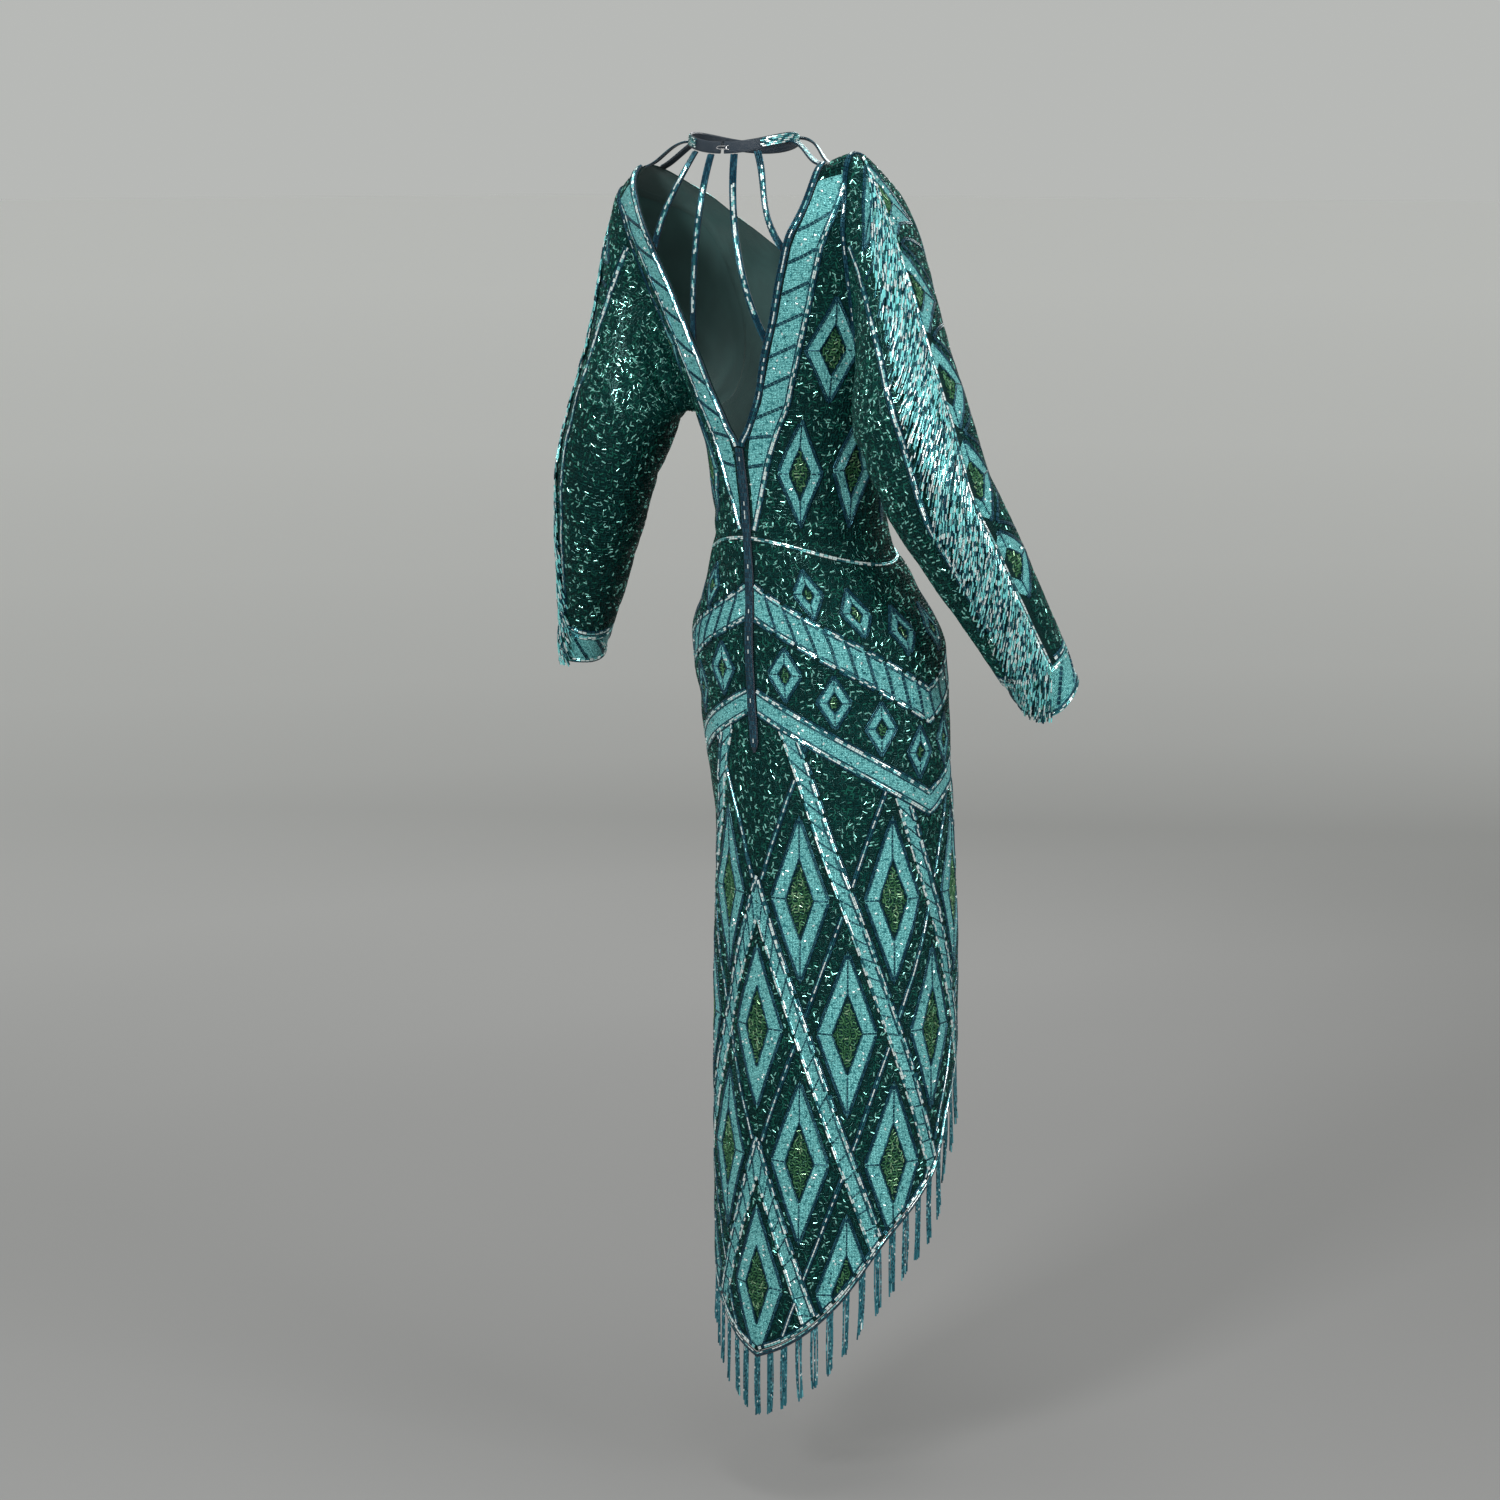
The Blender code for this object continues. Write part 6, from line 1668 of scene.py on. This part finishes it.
SLEEVE_TRIM_SECTION = (           # place round the arm, lift
    (0.0, SLEEVE_TRIM_LAID), (0.0006, SLEEVE_TRIM_LAID + SLEEVE_TRIM),
    (0.0034, SLEEVE_TRIM_LAID + SLEEVE_TRIM), (0.004, SLEEVE_TRIM_LAID))
SLEEVE_FRINGE_TOP, PAST_CUFF = 0.012, 0.008
FIGURE_MIDDLE = np.array([FORM_ROWS[-1][1], FORM_ROWS[-1][2], 0.0])


def strung(name, lines, spans, girths, shares):
    """Beads on strings as one mesh: each is a small tube, over a span of its step of the line, and
    in one of several sorts of glass, drawn in the given shares."""
    starts, ends = (np.concatenate([line[:-1] + (line[1:] - line[:-1]) * span for line in lines])
                    for span in spans)
    count = len(starts)
    sorts = list(shares)
    first = np.cumsum([0] + [len(BEAD_GLASS[sort]) for sort in sorts])
    drawn = steady.choice(len(sorts), size=count, p=np.array(list(shares.values())))
    glass = np.zeros(count, dtype=int)
    for index, sort in enumerate(sorts):
        glass[drawn == index] = pick_glass(sort, int((drawn == index).sum()), first[index])
    run = unit(ends - starts)
    aside = unit(np.cross(run, (0.31, 0.9, 0.2)))
    other = np.cross(run, aside)
    half = np.concatenate(girths)[:, None] / 2
    corners = [base + (aside * x + other * y) * half for base in (starts, ends)
               for x, y in ((1, 0), (0, 1), (-1, 0), (0, -1))]
    faces = [[k, (k + 1) % 4, 4 + (k + 1) % 4, 4 + k] for k in range(4)]
    sewn_mesh(name, *repeated(corners, faces), "fringe_beads", glass_of(sorts), glass)


def below_hem(turn, below, inwards=CLOTH / 2):
    """Points under the hem's edge, midway through the cloth."""
    before, place, after = (body_cloth(turn + step, hem_level(turn + step))[0]
                            for step in (-0.5, 0.0, 0.5))
    ahead = after - before
    slope = np.abs(ahead[:, 2]) / np.linalg.norm(ahead[:, :2], axis=1)
    place = place - unit((place - FIGURE_MIDDLE) * (1.0, 1.0, 0.0)) * inwards
    place[:, 2] -= TRIM_PART * np.sqrt(1 + slope * slope) + below
    return place


turns = np.linspace(0.0, 360.0, 289)[:-1]
band = np.stack([below_hem(turns, below, inwards) for below, inwards in (
    (TRIM_HEIGHT, 0.0003), (TRIM_HEIGHT - 0.0005, 0.0), (TRIM_HEIGHT / 2, -0.0001), (0.0006, 0.0),
    (0.0, 0.0003))])
band = sheet_over("fringe_hem_band", np.concatenate([band, band[:, :1]], axis=1), closed=True)
cloth_wall(band, (navy_satin, navy_satin), 0.0012, "fringe_hem")
lines = [(below_hem(np.linspace(0.0, 360.0, 721), below, 0.0), sort)
         for below, sort in ((0.0012, "silver"), (0.0034, "navy"))]
rows_along("fringe_hem_band_bugles",
           [(line, (line - FIGURE_MIDDLE) * (1.0, 1.0, 0.0), sort) for line, sort in lines])

lines, girths = [], []
degrees_wide = TASSEL_WIDTH / body_unit(HEM_POINT)
for tassel in range(HEM_TASSELS):
    middle_turn = tassel * 360.0 / HEM_TASSELS
    lean = steady.normal(0.0, 0.0012, 2)
    before, after = below_hem(middle_turn + np.array([-1.0, 1.0]), 0.0)
    onward = unit((after - before) * (1.0, 1.0, 0.0))
    outward = np.cross(onward, (0.0, 0.0, 1.0))
    for string in range(HEM_STRINGS):
        aside = string / (HEM_STRINGS - 1) - 0.5
        root = below_hem(np.array([middle_turn + aside * degrees_wide]), TRIM_HEIGHT - 0.0006)[0]
        drop = HEM_STRAND_DROP * (1.0 + steady.uniform(-0.05, 0.03))
        swing = onward * (lean[0] - aside * 0.001)
        swing += outward * (lean[1] + steady.normal(0.0, 0.0008))
        bow = steady.normal(0.0, 0.0007)
        stations = np.append(np.linspace(0.0, drop - END_BEAD, HEM_STRAND_BEADS), drop)
        t = stations / drop
        lines.append(root + np.outer(t * t, swing) + np.outer(np.sin(np.pi * t), onward) * bow
                     - np.outer(stations, (0.0, 0.0, 1.0)))
        girths.append(STRING_BEAD * steady.uniform(0.88, 1.08, HEM_STRAND_BEADS))
        girths[-1][-1] = STRING_BEAD * 1.1
strung("fringe_hem_strands", lines, (0.0, 0.9), girths, {"slate": 0.96, "silver": 0.04})

for side, side_name in SIDES:
    cloth = sleeves[side]
    whole, end = cloth.downs[-1], cloth.sleeve_end

    def over_arm(root, down, round_way, lift, cloth=cloth, whole=whole):
        """Places over the sleeve from the trim's line, on past the cuff along the arm."""
        held = np.minimum(down, whole)
        girth = np.interp(held, cloth.downs, cloth.girths)
        places, _ = cloth.place(0.0455 * root / whole + round_way / girth, held, lift)
        heading = unit(cloth.grid[-1].mean(axis=0) - cloth.grid[-4].mean(axis=0))
        return places + (down - held)[..., None] * heading

    halfway = (SLEEVE_FRINGE_TOP + end) / 2
    for part, first, last in (("upper", SLEEVE_FRINGE_TOP, halfway),
                              ("lower", halfway + 0.0002, end - 0.001)):
        name = f"fringe_{part}_sleeve_{side_name}"
        stops = np.linspace(first, last, 70)
        rails = [over_arm(stops, stops, *place) for place in SLEEVE_TRIM_SECTION]
        cloth_wall(sheet_over(f"{name}_trim", np.stack(rails[::side], axis=1)),
                   (navy_satin, navy_satin), 0.0006, name)
        middle, above = (over_arm(stops, stops, 0.002, lift) for lift in (0.0026, 0.0036))
        rows_along(f"{name}_row", [(middle, above - middle, "silver")])
        lines, girths = [], []
        roots = np.linspace(first, last, SLEEVE_STRINGS)
        for root in roots + steady.uniform(-0.0006, 0.0006, SLEEVE_STRINGS):
            drop = SLEEVE_STRAND_DROP * steady.uniform(0.86, 1.04)
            drop = min(drop, whole + PAST_CUFF * steady.uniform(0.6, 1.2) - root)
            count = max(int(drop / STRAND_BEAD), 2)
            t = np.linspace(0.0, 1.0, count + 1)
            sweep = SLEEVE_SWEEP[side] * steady.uniform(0.8, 1.16)
            high = 0.003 + 0.0018 * steady.random()
            wander = steady.normal(0.0, 0.0011) * np.sin(np.pi * t * steady.uniform(0.7, 1.6))
            downs = root + drop * t * math.sqrt(max(1.0 - 0.5 * sweep * sweep, 0.5))
            wave = 0.0004 * np.sin(9.0 * t + steady.uniform(0, 6))
            lift = np.minimum(0.0022 + 0.012 * t, high) + wave
            lines.append(over_arm(root, downs, 0.0036 + drop * t * sweep + wander, lift))
            girths.append(np.full(count, STRAND_GIRTH * steady.uniform(0.9, 1.1)))
        strung(f"{name}_strands", lines, (0.04, 0.93), girths,
               {"silver": 0.36, "turquoise": 0.3, "navy": 0.26, "ground": 0.08})

# --- size of the pieces --------------------------------------------------------------------------
low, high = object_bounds()
